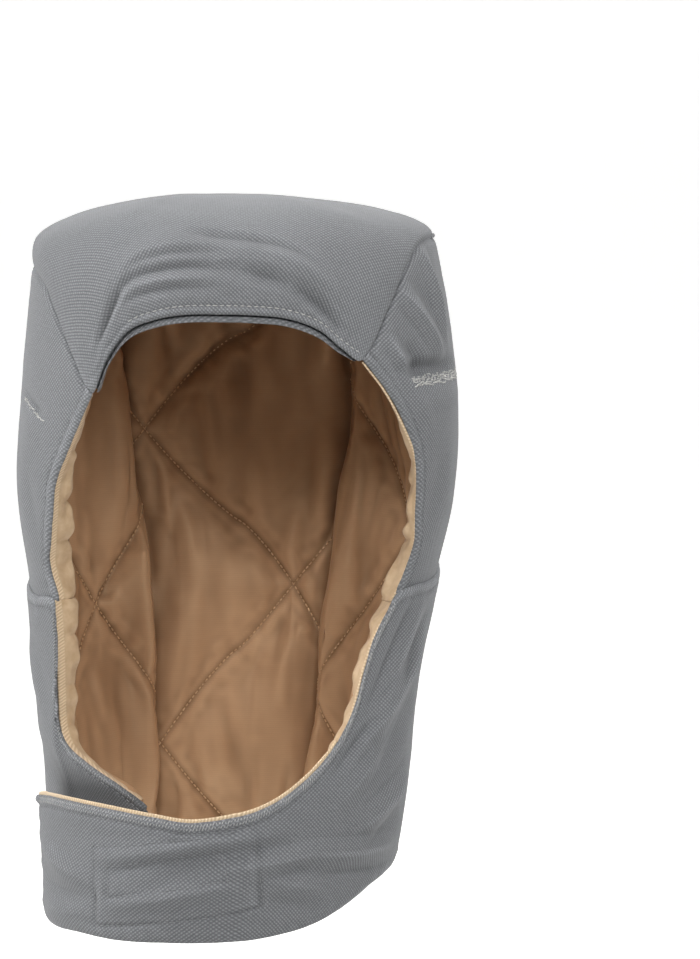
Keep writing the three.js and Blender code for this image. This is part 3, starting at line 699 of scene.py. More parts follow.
# The grid is closest at the right front and at the top, where the creases are sharp
across = np.interp(np.linspace(0, 1, 301), (0, 0.6, 1), (0, 0.8, 1))
up = np.interp(np.linspace(0, 1, 131), (0, 0.32, 1), (0, 0.5, 1))
theta, z = between(
    opening["left"], opening["right"], panel_foot, lambda a: seam_z(a) - SEAM_GAP, across, up
)
flat = body(theta, z)
_, top, first, last = edge_distances(flat)
out = side_out(theta, z) * ease(top, *SEAM_CALM)
out -= SEAM_ROLL * bump(top, 0, SEAM_ROLL_WIDTH) * ease(np.minimum(first, last), 0, SEAM_ROLL_END)
for off in (first, last):  # turned edge of the face opening
    out += turned_edge(off, roll=0.45, roll_at=2.4, roll_width=1.6, fall=0.9, nip=0.9, stitched=EDGE_STITCH)
    out += puckers(flat, off, seed=11)
outer = body(theta, z, out)
side_back = sew(
    "side_and_back_panel",
    outer,
    outer - normals(outer) * TWILL,
    np.stack([theta * ARC, z], axis=-1),
)
side_back.data.materials.append(twill)
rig.ride(side_back, "root")
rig.replaces(side_back, "side_back_panel")
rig.slot(side_back, "shell_twill")
thread_grid = outer + normals(outer) * THREAD_LIFT
clear = slice(12, -2)  # rows of the grid between the lap and the crown seam
side_thread = stitch(
    "side_panel_topstitch",
    [where(thread_grid[clear], off[clear], EDGE_STITCH) for off in (first, last)],
    grey_thread,
    thickness=0.35,
)
# Bars of pale stitches that close the tucks, in four close rows, or on the left in one thin row
LEFT_TUCK = 1
TUCKS = table(
    "theta0 z0 theta1 z1",
    (314, -79.8, 281, -79),
    (55.5, -101, 72, -92),
    (110, -90, 138, -88),
    (222, -88, 250, -90),
)
BAR_ROWS, BAR_POINTS, BAR_JITTER = (0, 1.1, 2.2, 3.3), 90, 0.8
bars = []
chance = np.random.RandomState(3)
for theta0, z0, theta1, z1 in zip(*TUCKS.values()):
    bars.append([])
    for drop in BAR_ROWS:
        theta, z = np.linspace(theta0, theta1, BAR_POINTS), np.linspace(z0, z1, BAR_POINTS) - drop
        z += chance.uniform(-BAR_JITTER, BAR_JITTER, BAR_POINTS)
        bars[-1].append(body(theta, z, side_out(theta, z) + THREAD_LIFT))
left_tuck = bars.pop(LEFT_TUCK)
tuck_thread = stitch(
    "tuck_bar_stitches", np.concatenate(bars), pale_thread, pitch=2.3, length=2, thickness=0.9
)
left_thread = stitch(
    "left_tuck_stitches", left_tuck[:1], pale_thread, pitch=1.8, length=1.6, thickness=0.75
)
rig.sheet(
    side_back,
    held="hung",
    rests_on=["crown_panel"],
    with_pieces=[side_thread, tuck_thread, left_thread],
    **cut(flat),
)

# Crown panel
# Twill cut from the back of the head over the top to the brow. It is sewn to the side panel along a seam
# with a sharp shoulder at each front corner, and its brow edge is turned in and stitched 4 mm up.
APEX = np.array((-4, 6, 7.2))
SHOULDER = 0.4  # times the root of a meridian's rise: the taller it is, the squarer its shoulder
ROW_SPREAD = 1.6
# Folds that echo the brow edge, and first the edge of the left shoulder: angle, with the right side negative,
# and distance above the rim
BROW_FOLDS = table(
    "theta0 rise0 theta1 rise1 height width crease",
    (58, 15, 118, 12, 2.6, 7, 0.9),
    (25, 31, 3, 30, -2.4, 2.8, 0.8),
    (10, 41, -16, 32, -2.4, 3, 0.7),
    (33, 17, 26, 23.5, -3.0, 4, 0.6),
    (26, 24.5, 1, 21.5, -3.2, 3, 0.8),
    (0, 21, -9, 16.5, -3.0, 4, 0.6),
    (-10, 16, -22, 9.5, -3.4, 4, 0.6),
    (24, 15, 4, 12.5, -2.4, 2.6, 0.8),
    (27, 18, 4, 16.5, 1.2, 4, 0.1),
    (29, 34, 4, 33, 3.0, 9, 0.2),
    (-2, 31, -22, 24, 3.2, 9, 0.2),
)
BROW_STITCH = 4  # above the brow edge
BROW_RIGHT, BROW_LEFT = (24, 30), (32, 37)  # angles over which the brow edge gives way to the seam
CROWN_SEAM_ROLL = 1.2


def crown_square(theta):
    return SHOULDER * np.sqrt(APEX[2] - rim_z(theta))


def crown_row(theta, height):
    """Row of the crown's grid at a height above its rim."""
    turn = np.arcsin((height / (APEX[2] - rim_z(theta))) ** (crown_square(theta) / 2))
    return (turn * 2 / math.pi) ** (1 / ROW_SPREAD)


def bearing(theta):
    """Angle from the front, with the right side negative."""
    return (theta + 180) % 360 - 180


def crown(theta, row):
    """Points of the crown by angle and row, from its rim, 0, to its top, 1."""
    edge = body(theta, rim_z(theta))
    power = 2 / crown_square(theta)
    turn = row**ROW_SPREAD * math.pi / 2
    points = mix(APEX, edge, (np.cos(turn) ** power)[..., None])
    points[..., 2] = mix(edge[..., 2], APEX[2], np.sin(turn) ** power)
    height = np.linalg.norm(edge - points, axis=-1)
    lift = folds(BROW_FOLDS, bearing(theta), height)
    away = points - APEX
    away[..., 2] = height
    size = np.linalg.norm(away, axis=-1, keepdims=True)
    return points + away / np.maximum(size, 1e-6) * lift[..., None]


theta, row = np.meshgrid(np.linspace(0, 360, 360, endpoint=False), np.linspace(0, 1, 81))
flat = crown(theta, row)
foot = edge_distances(flat)[0]
brow = np.where(theta > 180, 1 - ease(360 - theta, *BROW_RIGHT), 1 - ease(theta, *BROW_LEFT))
out = slack(flat, 36, 14, seed=3)
out -= (1 - brow) * CROWN_SEAM_ROLL * bump(foot, 0, SEAM_ROLL_WIDTH)
out += brow * turned_edge(
    foot, roll=0.35, roll_at=2, roll_width=1.3, fall=0.8, nip=0.8, stitched=BROW_STITCH
)
out += brow * puckers(flat, foot, seed=12)
out *= ease(1 - row, 0, 0.1)  # smooth at the very top
outer = flat + normals(flat, ring=True) * out[..., None]


def crown_weave(flat):
    """Weave of a crown, by distance from its top along each heading."""
    foot = edge_distances(flat)[0]
    heading = flat[0] - APEX
    heading = heading[:, :2] / np.linalg.norm(heading[:, :2], axis=-1, keepdims=True)
    return (foot[-1:] - foot)[..., None] * heading


crown_panel = sew(
    "crown_panel_twill",
    outer,
    outer - normals(outer, ring=True) * TWILL,
    crown_weave(flat),
    ring=True,
)
crown_panel.data.materials.append(twill)
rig.ride(crown_panel, "root")
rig.replaces(crown_panel, "crown_panel")
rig.slot(crown_panel, "shell_twill")
BROW_STITCHED = np.arange(334, 384) % 360  # one column of the grid for each degree
lines = (outer + normals(outer, ring=True) * THREAD_LIFT)[:-1, BROW_STITCHED]
brow_thread = stitch(
    "brow_topstitch",
    [where(lines.swapaxes(0, 1), foot[:-1, BROW_STITCHED].T, BROW_STITCH)],
    pale_thread,
)
span = (foot[-1] + np.roll(foot[-1], 180)).max() * MM
closed = np.concatenate([flat, flat[:, :1]], axis=1)
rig.sheet(
    crown_panel,
    flat=(span, span),
    area=cut(closed)["area"],
    held="draped",
    rests_on=["lining_crown"],
    with_pieces=[brow_thread],
)

# Neck band and flap
# Twill cut round the neck, lapped over the foot of the side panel. Its free end crosses the chin as a flap
# and lies over the other end. Its edges are turned in and stitched, and patches are sewn on behind the flap.
BAND = table(
    "top z hem hem_z out",
    (27, -287, 24, -345, 0),
    (37, -278, 33, -346, 0),
    (48, -270, 43, -346, 0),
    (57, -262, 53, -346, 0.4),
    (60, -252, 61, -345, 1),
    (59, -237, 67, -344, 1.5),
    (57, -220, 73, -344, 2.5),
    (56, -203, 78, -343, 2.5),
    (56, -189, 83, -343, 2.5),
    (70, -190, 92, -343, 2.5),
    (90, -188, 106, -342, 2.5),
    (110, -181, 121, -341, 2.5),
    (130, -174, 137, -340, 2.5),
    (155, -164, 158, -339, 2.5),
    (180, -159, 180, -338, 2.5),
    (205, -163, 202, -337, 2.5),
    (230, -170, 223, -335, 2.5),
    (250, -176, 240, -333, 2.5),
    (270, -181, 256, -332, 2.5),
    (290, -183, 271, -331, 2.5),
    (312, -184, 286, -330, 2.5),
    (317, -195, 293, -330, 2.5),
    (321, -208, 300, -331, 2.5),
    (323, -222, 307, -332, 2.6),
    (325, -237, 314, -335, 2.7),
    (330, -253, 322, -339, 2.9),
    (340, -270, 333, -344, 3.1),
    (354, -285, 348, -348, 3.6),
    (369, -292, 364, -351, 4.2),
    (382, -290, 379, -352, 4.8),
    (396, -288, 394, -353, 5.2),
    (411, -288, 409, -353, 5.4),
    (425, -290, 423, -355, 5.4),
    (438, -294, 437, -355, 5),
)
turn = np.diff(BAND["top"] + BAND["hem"], prepend=BAND["top"][0] + BAND["hem"][0]) / 2 * ARC
BAND["along"] = np.cumsum(np.hypot(turn, np.diff(BAND["z"], prepend=BAND["z"][0]) / 2))
BAND_LENGTH = BAND["along"][-1]
LEFT_NOTCH, RIGHT_NOTCH = 8, 20  # rows of the table where the band meets the side panel's front edges
band = {column: curve(BAND, "along", column) for column in BAND}
CORNER = 7  # radius of the flap's lower corner


def band_place(along, up):
    """Angle and height on the band, by distance along it and share of its height."""
    theta = mix(band["hem"](along), band["top"](along), up)
    inside = np.clip(CORNER - (BAND_LENGTH - along), 0, CORNER)
    hem = band["hem_z"](along) + CORNER - np.sqrt(CORNER**2 - inside**2)
    return theta, mix(hem, band["z"](along), up)


# Patches sewn on behind the flap press their outlines into it: middle, by its distance from the flap's end
# and its height above the hem, then size and slope
PATCHES = table("away height wide tall slope", (104.5, 34, 63, 15, 0.16), (108, 31, 86, 40, 0.12))


def patch_edge(x, y, patch):
    """Distance from the outline of a patch."""
    away, height, wide, tall, slope = patch
    x = x - away
    return np.maximum(np.abs(x) - wide / 2, np.abs(y - height - slope * x) - tall / 2)


along, up = np.meshgrid(np.linspace(0, BAND_LENGTH, 421), np.linspace(0, 1, 91))
theta, z = band_place(along, up)
flat = body(theta, z, band["out"](along))
foot, top, _, last = edge_distances(flat)
LAP_FALL, LAP_FALL_WIDTH = 0.9, 3  # the lapped edge lies down on the side panel
out = band["out"](along) + folds(SHELL_FOLDS, theta, z) + slack(flat, 38, 13, seed=5)
from_left = ease(along, *BAND["along"][LEFT_NOTCH : LEFT_NOTCH + 2])
lapped = from_left * (1 - ease(along, *BAND["along"][RIGHT_NOTCH - 1 : RIGHT_NOTCH + 1]))
out += turned_edge(top, roll=0.35, roll_at=2.4, roll_width=1.4, fall=0.8, nip=0.9, stitched=EDGE_STITCH)
out -= LAP_FALL * lapped * bump(top, 0, LAP_FALL_WIDTH)
out += turned_edge(foot, roll=0.3, roll_at=4, roll_width=3, fall=0.8, nip=1.2)
out += turned_edge(last, roll=0.3, roll_at=2.4, roll_width=1.4, fall=0.6, nip=0.9)
for off, seed in ((top, 13), (foot, 14), (last, 15)):
    out += puckers(flat, off, seed)
PATCH_LIFT, PATCH_TURN, PATCH_GROOVE, GROOVE_WIDTH = 0.5, 3, 0.9, 1.3
pressed = np.clip(0.4 + 1.6 * uneven(flat, 20, 16), 0, 1)  # in some places more than in others
for patch in zip(*PATCHES.values()):
    edge = patch_edge(last, foot, patch)
    raised = PATCH_LIFT * (1 - ease(edge, -PATCH_TURN, 0))
    out += pressed * (raised - PATCH_GROOVE * bump(edge, 0, GROOVE_WIDTH))
outer = body(theta, z, out)
# Painted shadow: the band's end under the flap is darkened through the crest attribute
FLAP_SHADE, SHADE_ANGLE, SHADE_DEPTH = 1.3, (-82, -68), (264, 288)  # the end under the flap, by -theta and -z
flap_shadow_mask = np.where(theta < 180, ease(-theta, *SHADE_ANGLE), 0) * ease(-z, *SHADE_DEPTH)
neck_band = sew(
    "neck_band_and_flap",
    outer,
    outer - normals(outer) * TWILL,
    np.stack([theta * ARC, z], axis=-1),
    painted_shade_depth=FLAP_SHADE * flap_shadow_mask,
)
neck_band.data.materials.append(twill)
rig.ride(neck_band, "root")
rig.replaces(neck_band, "neck_band")
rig.slot(neck_band, "shell_twill")
thread_grid = outer + normals(outer) * THREAD_LIFT
columns = np.arange(along.shape[1])
middle_row = len(along) // 2


def on_flap(x, y):
    """Points of the flap at distances from its end and heights above its hem."""
    near = np.round(np.interp(x, last[middle_row, ::-1], columns[::-1])).astype(int)
    count = np.arange(len(foot))
    j = [np.interp(tall, foot[:, k], count) for k, tall in zip(near, y)]
    spots = [[np.interp(row, count, line) for line in thread_grid[:, k].T] for k, row in zip(near, j)]
    return np.array(spots)


outlines = []
for away, height, wide, tall, slope in zip(*PATCHES.values()):
    for side in (-1, 1):
        x = np.linspace(-wide / 2, wide / 2, int(wide / 3))
        outlines.append(on_flap(away + x, height + slope * x + side * tall / 2))
        y = np.linspace(-tall / 2, tall / 2, 8)
        outlines.append(on_flap(away + side * wide / 2 + 0 * y, height + slope * side * wide / 2 + y))
# Overcast runs of the band's edge: beside the face opening on the left, and from the right notch along the
# flap
RUN_START, RUN_END = 4, 3  # bare ends of each run
OVERCAST_EDGE, OVERCAST_INSIDE = 0.5, 3.2
edge_threads = []
for name, start, end in (
    ("left", 0, BAND["along"][LEFT_NOTCH]),
    ("flap", BAND["along"][RIGHT_NOTCH], BAND_LENGTH),
):
    run = (along[0] > start + RUN_START) & (along[0] < end - RUN_END)
    lines, off = thread_grid.swapaxes(0, 1)[run], top.T[run]
    edge, inside = where(lines, off, OVERCAST_EDGE), where(lines, off, OVERCAST_INSIDE)
    edge_threads.append(overcast(f"{name}_edge_overcast", edge, inside, pale_thread))
clear = slice(3, -4)  # columns of the grid between the band's two ends
band_thread = stitch(
    "neck_band_topstitch",
    [where(thread_grid.swapaxes(0, 1)[clear], top.T[clear], EDGE_STITCH), *outlines],
    grey_thread,
    thickness=0.42,
)
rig.sheet(
    neck_band,
    held="hung",
    rests_on=["side_back_panel"],
    with_pieces=[band_thread, *edge_threads],
    **cut(flat),
)

# Brow facing
# A narrow twill strip sewn in behind the brow edge. It hangs a little below that edge, so that the brow
# shows as two thin layers with a dark line between them.
FACING = 1.3
FACING_GAP = 0.5  # between the shell and a facing
HANG, SLOT = 3.4, 4  # how far the strip hangs below the brow, and stands off behind its edge
BROW_TURN_IN = 12  # how far it runs up inside
BROW_GAP, HANG_CURL = 0.6, 0.9
STRIP_FROM, STRIP_TO = 333, 394.6
theta, share = np.meshgrid(np.linspace(STRIP_FROM, STRIP_TO, 161), np.linspace(0, 1, 31) ** 2)
hang = HANG * ease(theta, 330, 343) * np.sqrt(ease(-theta, -395.2, -391))  # less towards both ends
height = mix(-hang, BROW_TURN_IN, share)
theta = theta % 360
flat = crown(theta, crown_row(theta, np.maximum(height, 0)))
flat[..., 2] += np.minimum(height, 0)
back = TWILL + BROW_GAP + SLOT * bump(height, 0.2, 1.3) - HANG_CURL * bump(height, -HANG, 1)
outer = flat - normals(flat) * back[..., None]
inner = outer - normals(flat) * FACING
brow_facing = sew("brow_facing_strip", outer, inner, np.stack([theta * ARC, height], axis=-1))
brow_facing.data.materials.append(twill)
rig.ride(brow_facing, "root")
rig.replaces(brow_facing, "brow_facing")
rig.slot(brow_facing, "shell_twill")
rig.sheet(brow_facing, held="folded", rests_on=["crown_panel"], **cut(flat))

# Side and flap facings
# Light tan satin strips across the padded edge of the face opening and along the top of the flap. The edge
# by the shell is overlocked in fine ribs, and the rest puckers where the lining is caught to it.
# Tan satin: smooth, with a soft gloss and faint pulls. Its overlocked edge, the first 3 mm from the shell, is
# paler close slanting ribs of thread, drawn at 1.4 mm.
tan = bpy.data.materials.new("tan_satin")
tan.use_nodes = True
tree = tan.node_tree
OVERLOCK, OVERLOCK_END, OVERLOCK_PITCH = 2.8, 3.4, 1.4
weave_map = node(tree, "ShaderNodeUVMap", uv_map="weave").outputs["UV"]
place = node(tree, "ShaderNodeTexCoord").outputs["Object"]
inwards = node(tree, "ShaderNodeSeparateXYZ", {"Vector": weave_map}).outputs["X"]
bound = node(
    tree,
    "ShaderNodeMapRange",
    {"Value": inwards, "From Min": OVERLOCK * MM, "From Max": OVERLOCK_END * MM, "To Min": 1, "To Max": 0},
).outputs[0]
turned = node(
    tree,
    "ShaderNodeMapping",
    {"Vector": weave_map, "Rotation": (0, 0, math.radians(62)), "Scale": (WAVE / OVERLOCK_PITCH / MM,) * 3},
).outputs[0]
loops = node(
    tree, "ShaderNodeTexWave", {"Vector": turned, "Scale": 1.0, "Distortion": 0.7, "Detail": 1.0}
).outputs["Fac"]
pulls = node(tree, "ShaderNodeTexNoise", {"Vector": place, "Scale": 260.0, "Detail": 3.0}).outputs["Fac"]
height = node(tree, "ShaderNodeMix", {"Factor": bound, "A": pulls, "B": loops}, data_type="FLOAT").outputs[0]
plain = node(tree, "ShaderNodeMapRange", {"Value": pulls, "To Min": 0.05, "To Max": 0.75}).outputs[0]
ribbed = node(tree, "ShaderNodeMapRange", {"Value": loops, "To Min": 0.4, "To Max": 1}).outputs[0]
tones = node(tree, "ShaderNodeMix", {"Factor": bound, "A": plain, "B": ribbed}, data_type="FLOAT").outputs[0]
colour = node(
    tree, "ShaderNodeMix", {"Factor": tones, "A": srgb("b28f67"), "B": srgb("ecd4b2")}, data_type="RGBA"
).outputs["Result"]
relief = node(tree, "ShaderNodeBump", {"Strength": 0.5, "Distance": 0.4 * MM, "Height": height}).outputs[0]
shader = tree.nodes["Principled BSDF"]
shader.inputs["Roughness"].default_value = 0.5
shader.inputs["Sheen Weight"].default_value = 0.15
tree.links.new(colour, shader.inputs["Base Color"])
tree.links.new(relief, shader.inputs["Normal"])

LEAN_FROM, LEAN_TO, LEAN_BEND = 0.3, 4, 1.6  # how far a strip leans back from the edge, shell to lining
NOTCH_Z, NOTCH_GAP = -189, 0.5
SCALLOP, SCALLOP_PITCH = 0.3, 23  # the gathered inner edge: how much it waves, as a share of its width
SCALLOP_DRIFT, DRIFT_LENGTH = 2.5, 16
GATHER, UNEVEN_GATHER, GATHER_SIZE = 1.4, 3.4, 11
BROW_SHOWS, BROW_SHOWS_FROM = 2.2, (-130, -95)  # the right facing stands into the opening below the brow
RIGHT_BAND_NARROWS, RIGHT_BAND_TAPER = (0.3, 0.85), 20
FACING_ENDS = {"left": (-285, -86), "right": (-272, -71)}
# Rows of the band's table beside the face opening
BAND_ENDS = {"left": slice(0, LEFT_NOTCH + 1), "right": slice(RIGHT_NOTCH, 28)}
for side, (low, high) in FACING_ENDS.items():
    back = 1 if side == "left" else -1
    band_rows = {column: values[BAND_ENDS[side]] for column, values in BAND.items()}
    band_out = curve(band_rows, "z", "out")
    for part, foot_z, top_z in (("edge", NOTCH_Z + NOTCH_GAP, high), ("band", low, NOTCH_Z - NOTCH_GAP)):
        across, z = np.meshgrid(np.linspace(0, 1, 17), np.linspace(foot_z, top_z, 141))
        if side == "left":
            across = across[:, ::-1]
        edge = opening[side](z)
        drift = np.array([noise.noise((up / DRIFT_LENGTH, back, 0)) for up in z[:, 0]])[:, None]
        waves = np.abs(np.sin(math.pi * z / SCALLOP_PITCH + SCALLOP_DRIFT * drift)) ** 0.7 - 0.65
        pad = opening[f"{side}_pad"](z) * (1 + SCALLOP * waves * (0.6 + drift))
        if (side, part) == ("right", "band"):
            pad *= mix(*RIGHT_BAND_NARROWS, ease(z, low, low + RIGHT_BAND_TAPER))
        lean = mix(LEAN_FROM, LEAN_TO, across**LEAN_BEND)
        if side == "right":
            lean -= BROW_SHOWS * ease(z, *BROW_SHOWS_FROM)
        deep = folds(SHELL_FOLDS, edge, z) - TWILL - FACING_GAP - across * pad
        if part == "band":
            deep += band_out(z) * (1 - across)
        flat = body(edge + back * lean / ARC, z, deep)
        gathers = GATHER * waves + UNEVEN_GATHER * uneven(flat * (1, 1, 1.4), GATHER_SIZE, 8)
        gathers *= ease(across, 0.25, 0.9)
        outer = body(edge + back * (lean - gathers) / ARC, z, deep)
        inner = body(edge + back * (lean - gathers + FACING) / ARC, z, deep)
        off_edge = across * pad + (0 if side == "left" else OVERLOCK)
        strip = sew(f"{part}_facing_{side}_strip", outer, inner, np.stack([off_edge, z], axis=-1))
        strip.data.materials.append(tan)
        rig.ride(strip, "root")
        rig.replaces(strip, f"{part}_facing_{side}")
        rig.slot(strip, "tan_facing")
        carrier = "neck_band" if part == "band" else "side_back_panel"
        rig.sheet(strip, held="gathered", rests_on=[carrier], **cut(flat))

FLAP_ANGLE = 331  # where the flap's facing and its lining start
FLAP_FROM = np.interp(FLAP_ANGLE, BAND["top"][RIGHT_NOTCH:], BAND["along"][RIGHT_NOTCH:])
FLAP_TO = BAND_LENGTH * 0.997
FLAP_SHOWS, FLAP_TAPER = 1.2, 12  # how far the facing stands above the flap's edge, less where it starts
FLAP_FACING = 9
along, share = np.meshgrid(np.linspace(FLAP_FROM, FLAP_TO, 221), np.linspace(0, 1, 13))
rise = mix(-FLAP_FACING, FLAP_SHOWS * ease(along, FLAP_FROM, FLAP_FROM + FLAP_TAPER), share)
theta, z = band_place(along, 1 + rise / (band["z"](along) - band["hem_z"](along)))
flat = body(theta, z, band["out"](along) + folds(SHELL_FOLDS, theta, z))
outer = flat - normals(flat) * (TWILL + FACING_GAP)
flap_facing = sew(
    "flap_facing_strip", outer, outer - normals(flat) * FACING, np.stack([OVERLOCK - rise, along], axis=-1)
)
flap_facing.data.materials.append(tan)
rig.ride(flap_facing, "root")
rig.replaces(flap_facing, "flap_facing")
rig.slot(flap_facing, "tan_facing")
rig.sheet(flap_facing, held="folded", rests_on=["neck_band"], **cut(flat))

# Linings
# Brown satin quilted to batting in large diamonds, in a back, two side and a crown panel, and a flat panel
# behind the flap. Each is thin along its stitches and full between them.
# Brown satin: a smooth float of yarns with a soft gloss, crossed by fine weft lines, drawn at 1.1 mm so that
# they show, and by slubs. Painted shade darkens it in its creases, beside the back seams and towards the deep top of
# the hood.
satin = bpy.data.materials.new("quilted_satin")
satin.use_nodes = True
tree = satin.node_tree
WEFT_PITCH = 1.1
weave_map = node(tree, "ShaderNodeUVMap", uv_map="weave").outputs["UV"]
place = node(tree, "ShaderNodeTexCoord").outputs["Object"]
spaced = node(
    tree, "ShaderNodeMapping", {"Vector": weave_map, "Scale": (WAVE / WEFT_PITCH / MM,) * 3}
).outputs[0]
weft = node(
    tree,
    "ShaderNodeTexWave",
    {"Vector": spaced, "Scale": 1.0, "Distortion": 0.5, "Detail": 1.0},
    bands_direction="Y",
).outputs["Fac"]
drawn = node(tree, "ShaderNodeMapping", {"Vector": weave_map, "Scale": (60.0, 900.0, 1.0)}).outputs[0]
slubs = node(tree, "ShaderNodeTexNoise", {"Vector": drawn, "Scale": 1.0, "Detail": 2.0}).outputs["Fac"]
yarns = node(tree, "ShaderNodeMix", {"Factor": 0.6, "A": weft, "B": slubs}, data_type="FLOAT").outputs[0]
cloud = node(tree, "ShaderNodeTexNoise", {"Vector": place, "Scale": 26.0, "Detail": 3.0}).outputs["Fac"]
tones = node(tree, "ShaderNodeMix", {"Factor": 0.2, "A": cloud, "B": yarns}, data_type="FLOAT").outputs[0]
dyed = node(
    tree, "ShaderNodeMix", {"Factor": tones, "A": srgb("9c795a"), "B": srgb("d0aa85")}, data_type="RGBA"
).outputs["Result"]
crest_and_shade = node(tree, "ShaderNodeAttribute", attribute_name="crest_and_shade").outputs["Fac"]
# Painted shade: creases, the back seams and the top of the hood darken towards 4a2d18, the painted shade colour
satin_painted_shade = node(
    tree,
    "ShaderNodeMapRange",
    {"Value": crest_and_shade, "From Min": -1.9, "From Max": 0.3, "To Min": 0.35, "To Max": 1},
).outputs[0]
colour = node(
    tree, "ShaderNodeMix", {"Factor": satin_painted_shade, "A": srgb("4a2d18"), "B": dyed}, data_type="RGBA"
).outputs["Result"]
gloss = node(tree, "ShaderNodeMapRange", {"Value": yarns, "To Min": 0.38, "To Max": 0.5}).outputs[0]
relief = node(tree, "ShaderNodeBump", {"Strength": 0.12, "Distance": 0.25 * MM, "Height": yarns}).outputs[0]
shader = tree.nodes["Principled BSDF"]
shader.inputs["Specular IOR Level"].default_value = 0.5
shader.inputs["Specular Tint"].default_value = srgb("ffd9b0")
tree.links.new(colour, shader.inputs["Base Color"])
tree.links.new(gloss, shader.inputs["Roughness"])
tree.links.new(relief, shader.inputs["Normal"])
quilting_thread = thread("quilting_thread", "b8926a", "e2be94")

LINING_GAP = 0.9
SEAMED, STITCHED, PUFF, CROWN_PAD = 2, 3, 6, 4  # thickness in the seams and quilting lines, and between them
PUFF_TURN = 7  # how soon a puff rises from its stitches
ROLL, ROLL_AT, ROLL_WIDTH = 7, 8, 16  # fullness of the side panels beside the back seams
SEAM_LAP = 0.8
LINING_FOOT, LINING_TOP = 3, 2.5  # above the hem, and below the crown seam
FACING_CLEAR = 2.7  # between the lining's front edge and the facing
SHELL_ROOM = 1.5  # times the depth of a valley in the shell, by which the lining gives way to it
DIAMOND_ACROSS, DIAMOND_UP = 69, 84
VALLEY = 17  # how far the padded edge of the face opening reaches
PINNED = 2  # from a quilting line
# Creases of the slack satin, full at a distance from the stitches
CREASES = table("height size upright seed clear", (4.6, 17, 0.3, 21, 12), (0.7, 8, 0.4, 23, 9))
PULL_CLEAR = 10
GATHERS = {"height": 1.2, "size": 7, "off": 5, "spread": 4.5}  # small ones beside the stitches
TOP_SHADE = (-110, -45)  # heights over which the lining darkens towards the top
SEAM_SHADES = ((0.7, 12), (1.5, 5))  # depth and width of the dark beside the back seams
SHADE = 0.9
QUILTS = {"back": (28, -205), "left": (-85, -211), "right": (48, -258)}
LINING_SEAMS = table(
    "z left right", (-10, 143, 210), (-110, 149, 210), (-180, 155, 209), (-340, 154, 207)
)
lining_seam = {side: curve(LINING_SEAMS, "z", side) for side in ("left", "right")}
HEM_Z = -338


def full(away, width=VALLEY):
    return ease(np.abs(away), 0, width)


def quilting(name, theta, z):
    """Number of lines crossed in each of the two families of quilting lines."""
    arc, middle = QUILTS[name]
    across, up = ((theta - 180) * ARC - arc) / DIAMOND_ACROSS, (z - middle) / DIAMOND_UP
    return (up + across) / 2, (up - across) / 2


CUT_ACROSS, CUT_UP = 1.05, 1.015  # the satin is cut larger than the batting that it is stitched to
SETTLE_FRAMES = 25
MOST_SHIFT = 4


def slacken(start, cut, pinned):
    """Shift of each point of a satin skin that is held where it is stitched and pushed out by its batting."""
    rows, columns = start.shape[:2]
    ids = np.arange(rows * columns).reshape(rows, columns)
    corners = [ids[:-1, :-1], ids[:-1, 1:], ids[1:, 1:], ids[1:, :-1]]
    mesh = bpy.data.meshes.new("satin_cut")
    mesh.from_pydata(
        (start.reshape(-1, 3) * MM).tolist(), [], np.stack([c.ravel() for c in corners], axis=-1).tolist()
    )
    skin = bpy.data.objects.new("satin_cut", mesh)
    bpy.context.scene.collection.objects.link(skin)
    skin.shape_key_add(name="sewn")
    skin.shape_key_add(name="cut").data.foreach_set("co", (cut.reshape(-1, 3) * MM).ravel())
    skin.vertex_groups.new(name="stitches").add(ids[pinned].tolist(), 1.0, "REPLACE")
    cloth = skin.modifiers.new("satin", "CLOTH")
    cloth.settings.quality = 6
    cloth.settings.mass = 0.01
    cloth.settings.tension_stiffness = 12
    cloth.settings.compression_stiffness = 12
    cloth.settings.shear_stiffness = 4
    cloth.settings.bending_stiffness = 0.02
    cloth.settings.vertex_group_mass = "stitches"
    cloth.settings.rest_shape_key = skin.data.shape_keys.key_blocks["cut"]
    cloth.settings.use_pressure = True
    cloth.settings.uniform_pressure_force = 60
    cloth.settings.effector_weights.gravity = 0.1
    cloth.point_cache.frame_end = SETTLE_FRAMES
    for step in range(1, SETTLE_FRAMES + 1):
        bpy.context.scene.frame_set(step)
    settled = skin.evaluated_get(bpy.context.evaluated_depsgraph_get()).to_mesh()
    points = np.empty(rows * columns * 3, dtype=np.float32)
    settled.vertices.foreach_get("co", points)
    bpy.context.scene.frame_set(1)
    bpy.data.objects.remove(skin)
    bpy.data.meshes.remove(mesh)
    return points.reshape(start.shape).astype(float) / MM - start


def finer(grid):
    """The same grid with a point between every two."""
    for axis in (0, 1):
        grid = np.swapaxes(grid, 0, axis)
        made = np.empty((2 * len(grid) - 1, *grid.shape[1:]))
        made[::2] = grid
        made[1::2] = (grid[:-1] + grid[1:]) / 2
        made[1:-1] = (made[:-2] + 2 * made[1:-1] + made[2:]) / 4
        grid = np.swapaxes(made, 0, axis)
    return grid


PULLS = 34


def pulls(theta, z):
    """Table of soft upright folds where the satin is slack, spread over a panel."""
    chance = np.random.RandomState(5)
    at, up = chance.uniform(theta.min(), theta.max(), PULLS), chance.uniform(z.min(), z.max(), PULLS)
    over, tall = chance.normal(0, 4, PULLS), chance.uniform(30, 80, PULLS)
    height = chance.uniform(1.2, 2.6, PULLS) * chance.choice((-1, 1), PULLS)
    width, crease = chance.uniform(3, 6, PULLS), chance.uniform(0, 0.5, PULLS)
    rows = np.stack([at, up - tall / 2, at + over, up + tall / 2, height, width, crease], axis=-1)
    return table("theta0 rise0 theta1 rise1 height width crease", *rows)


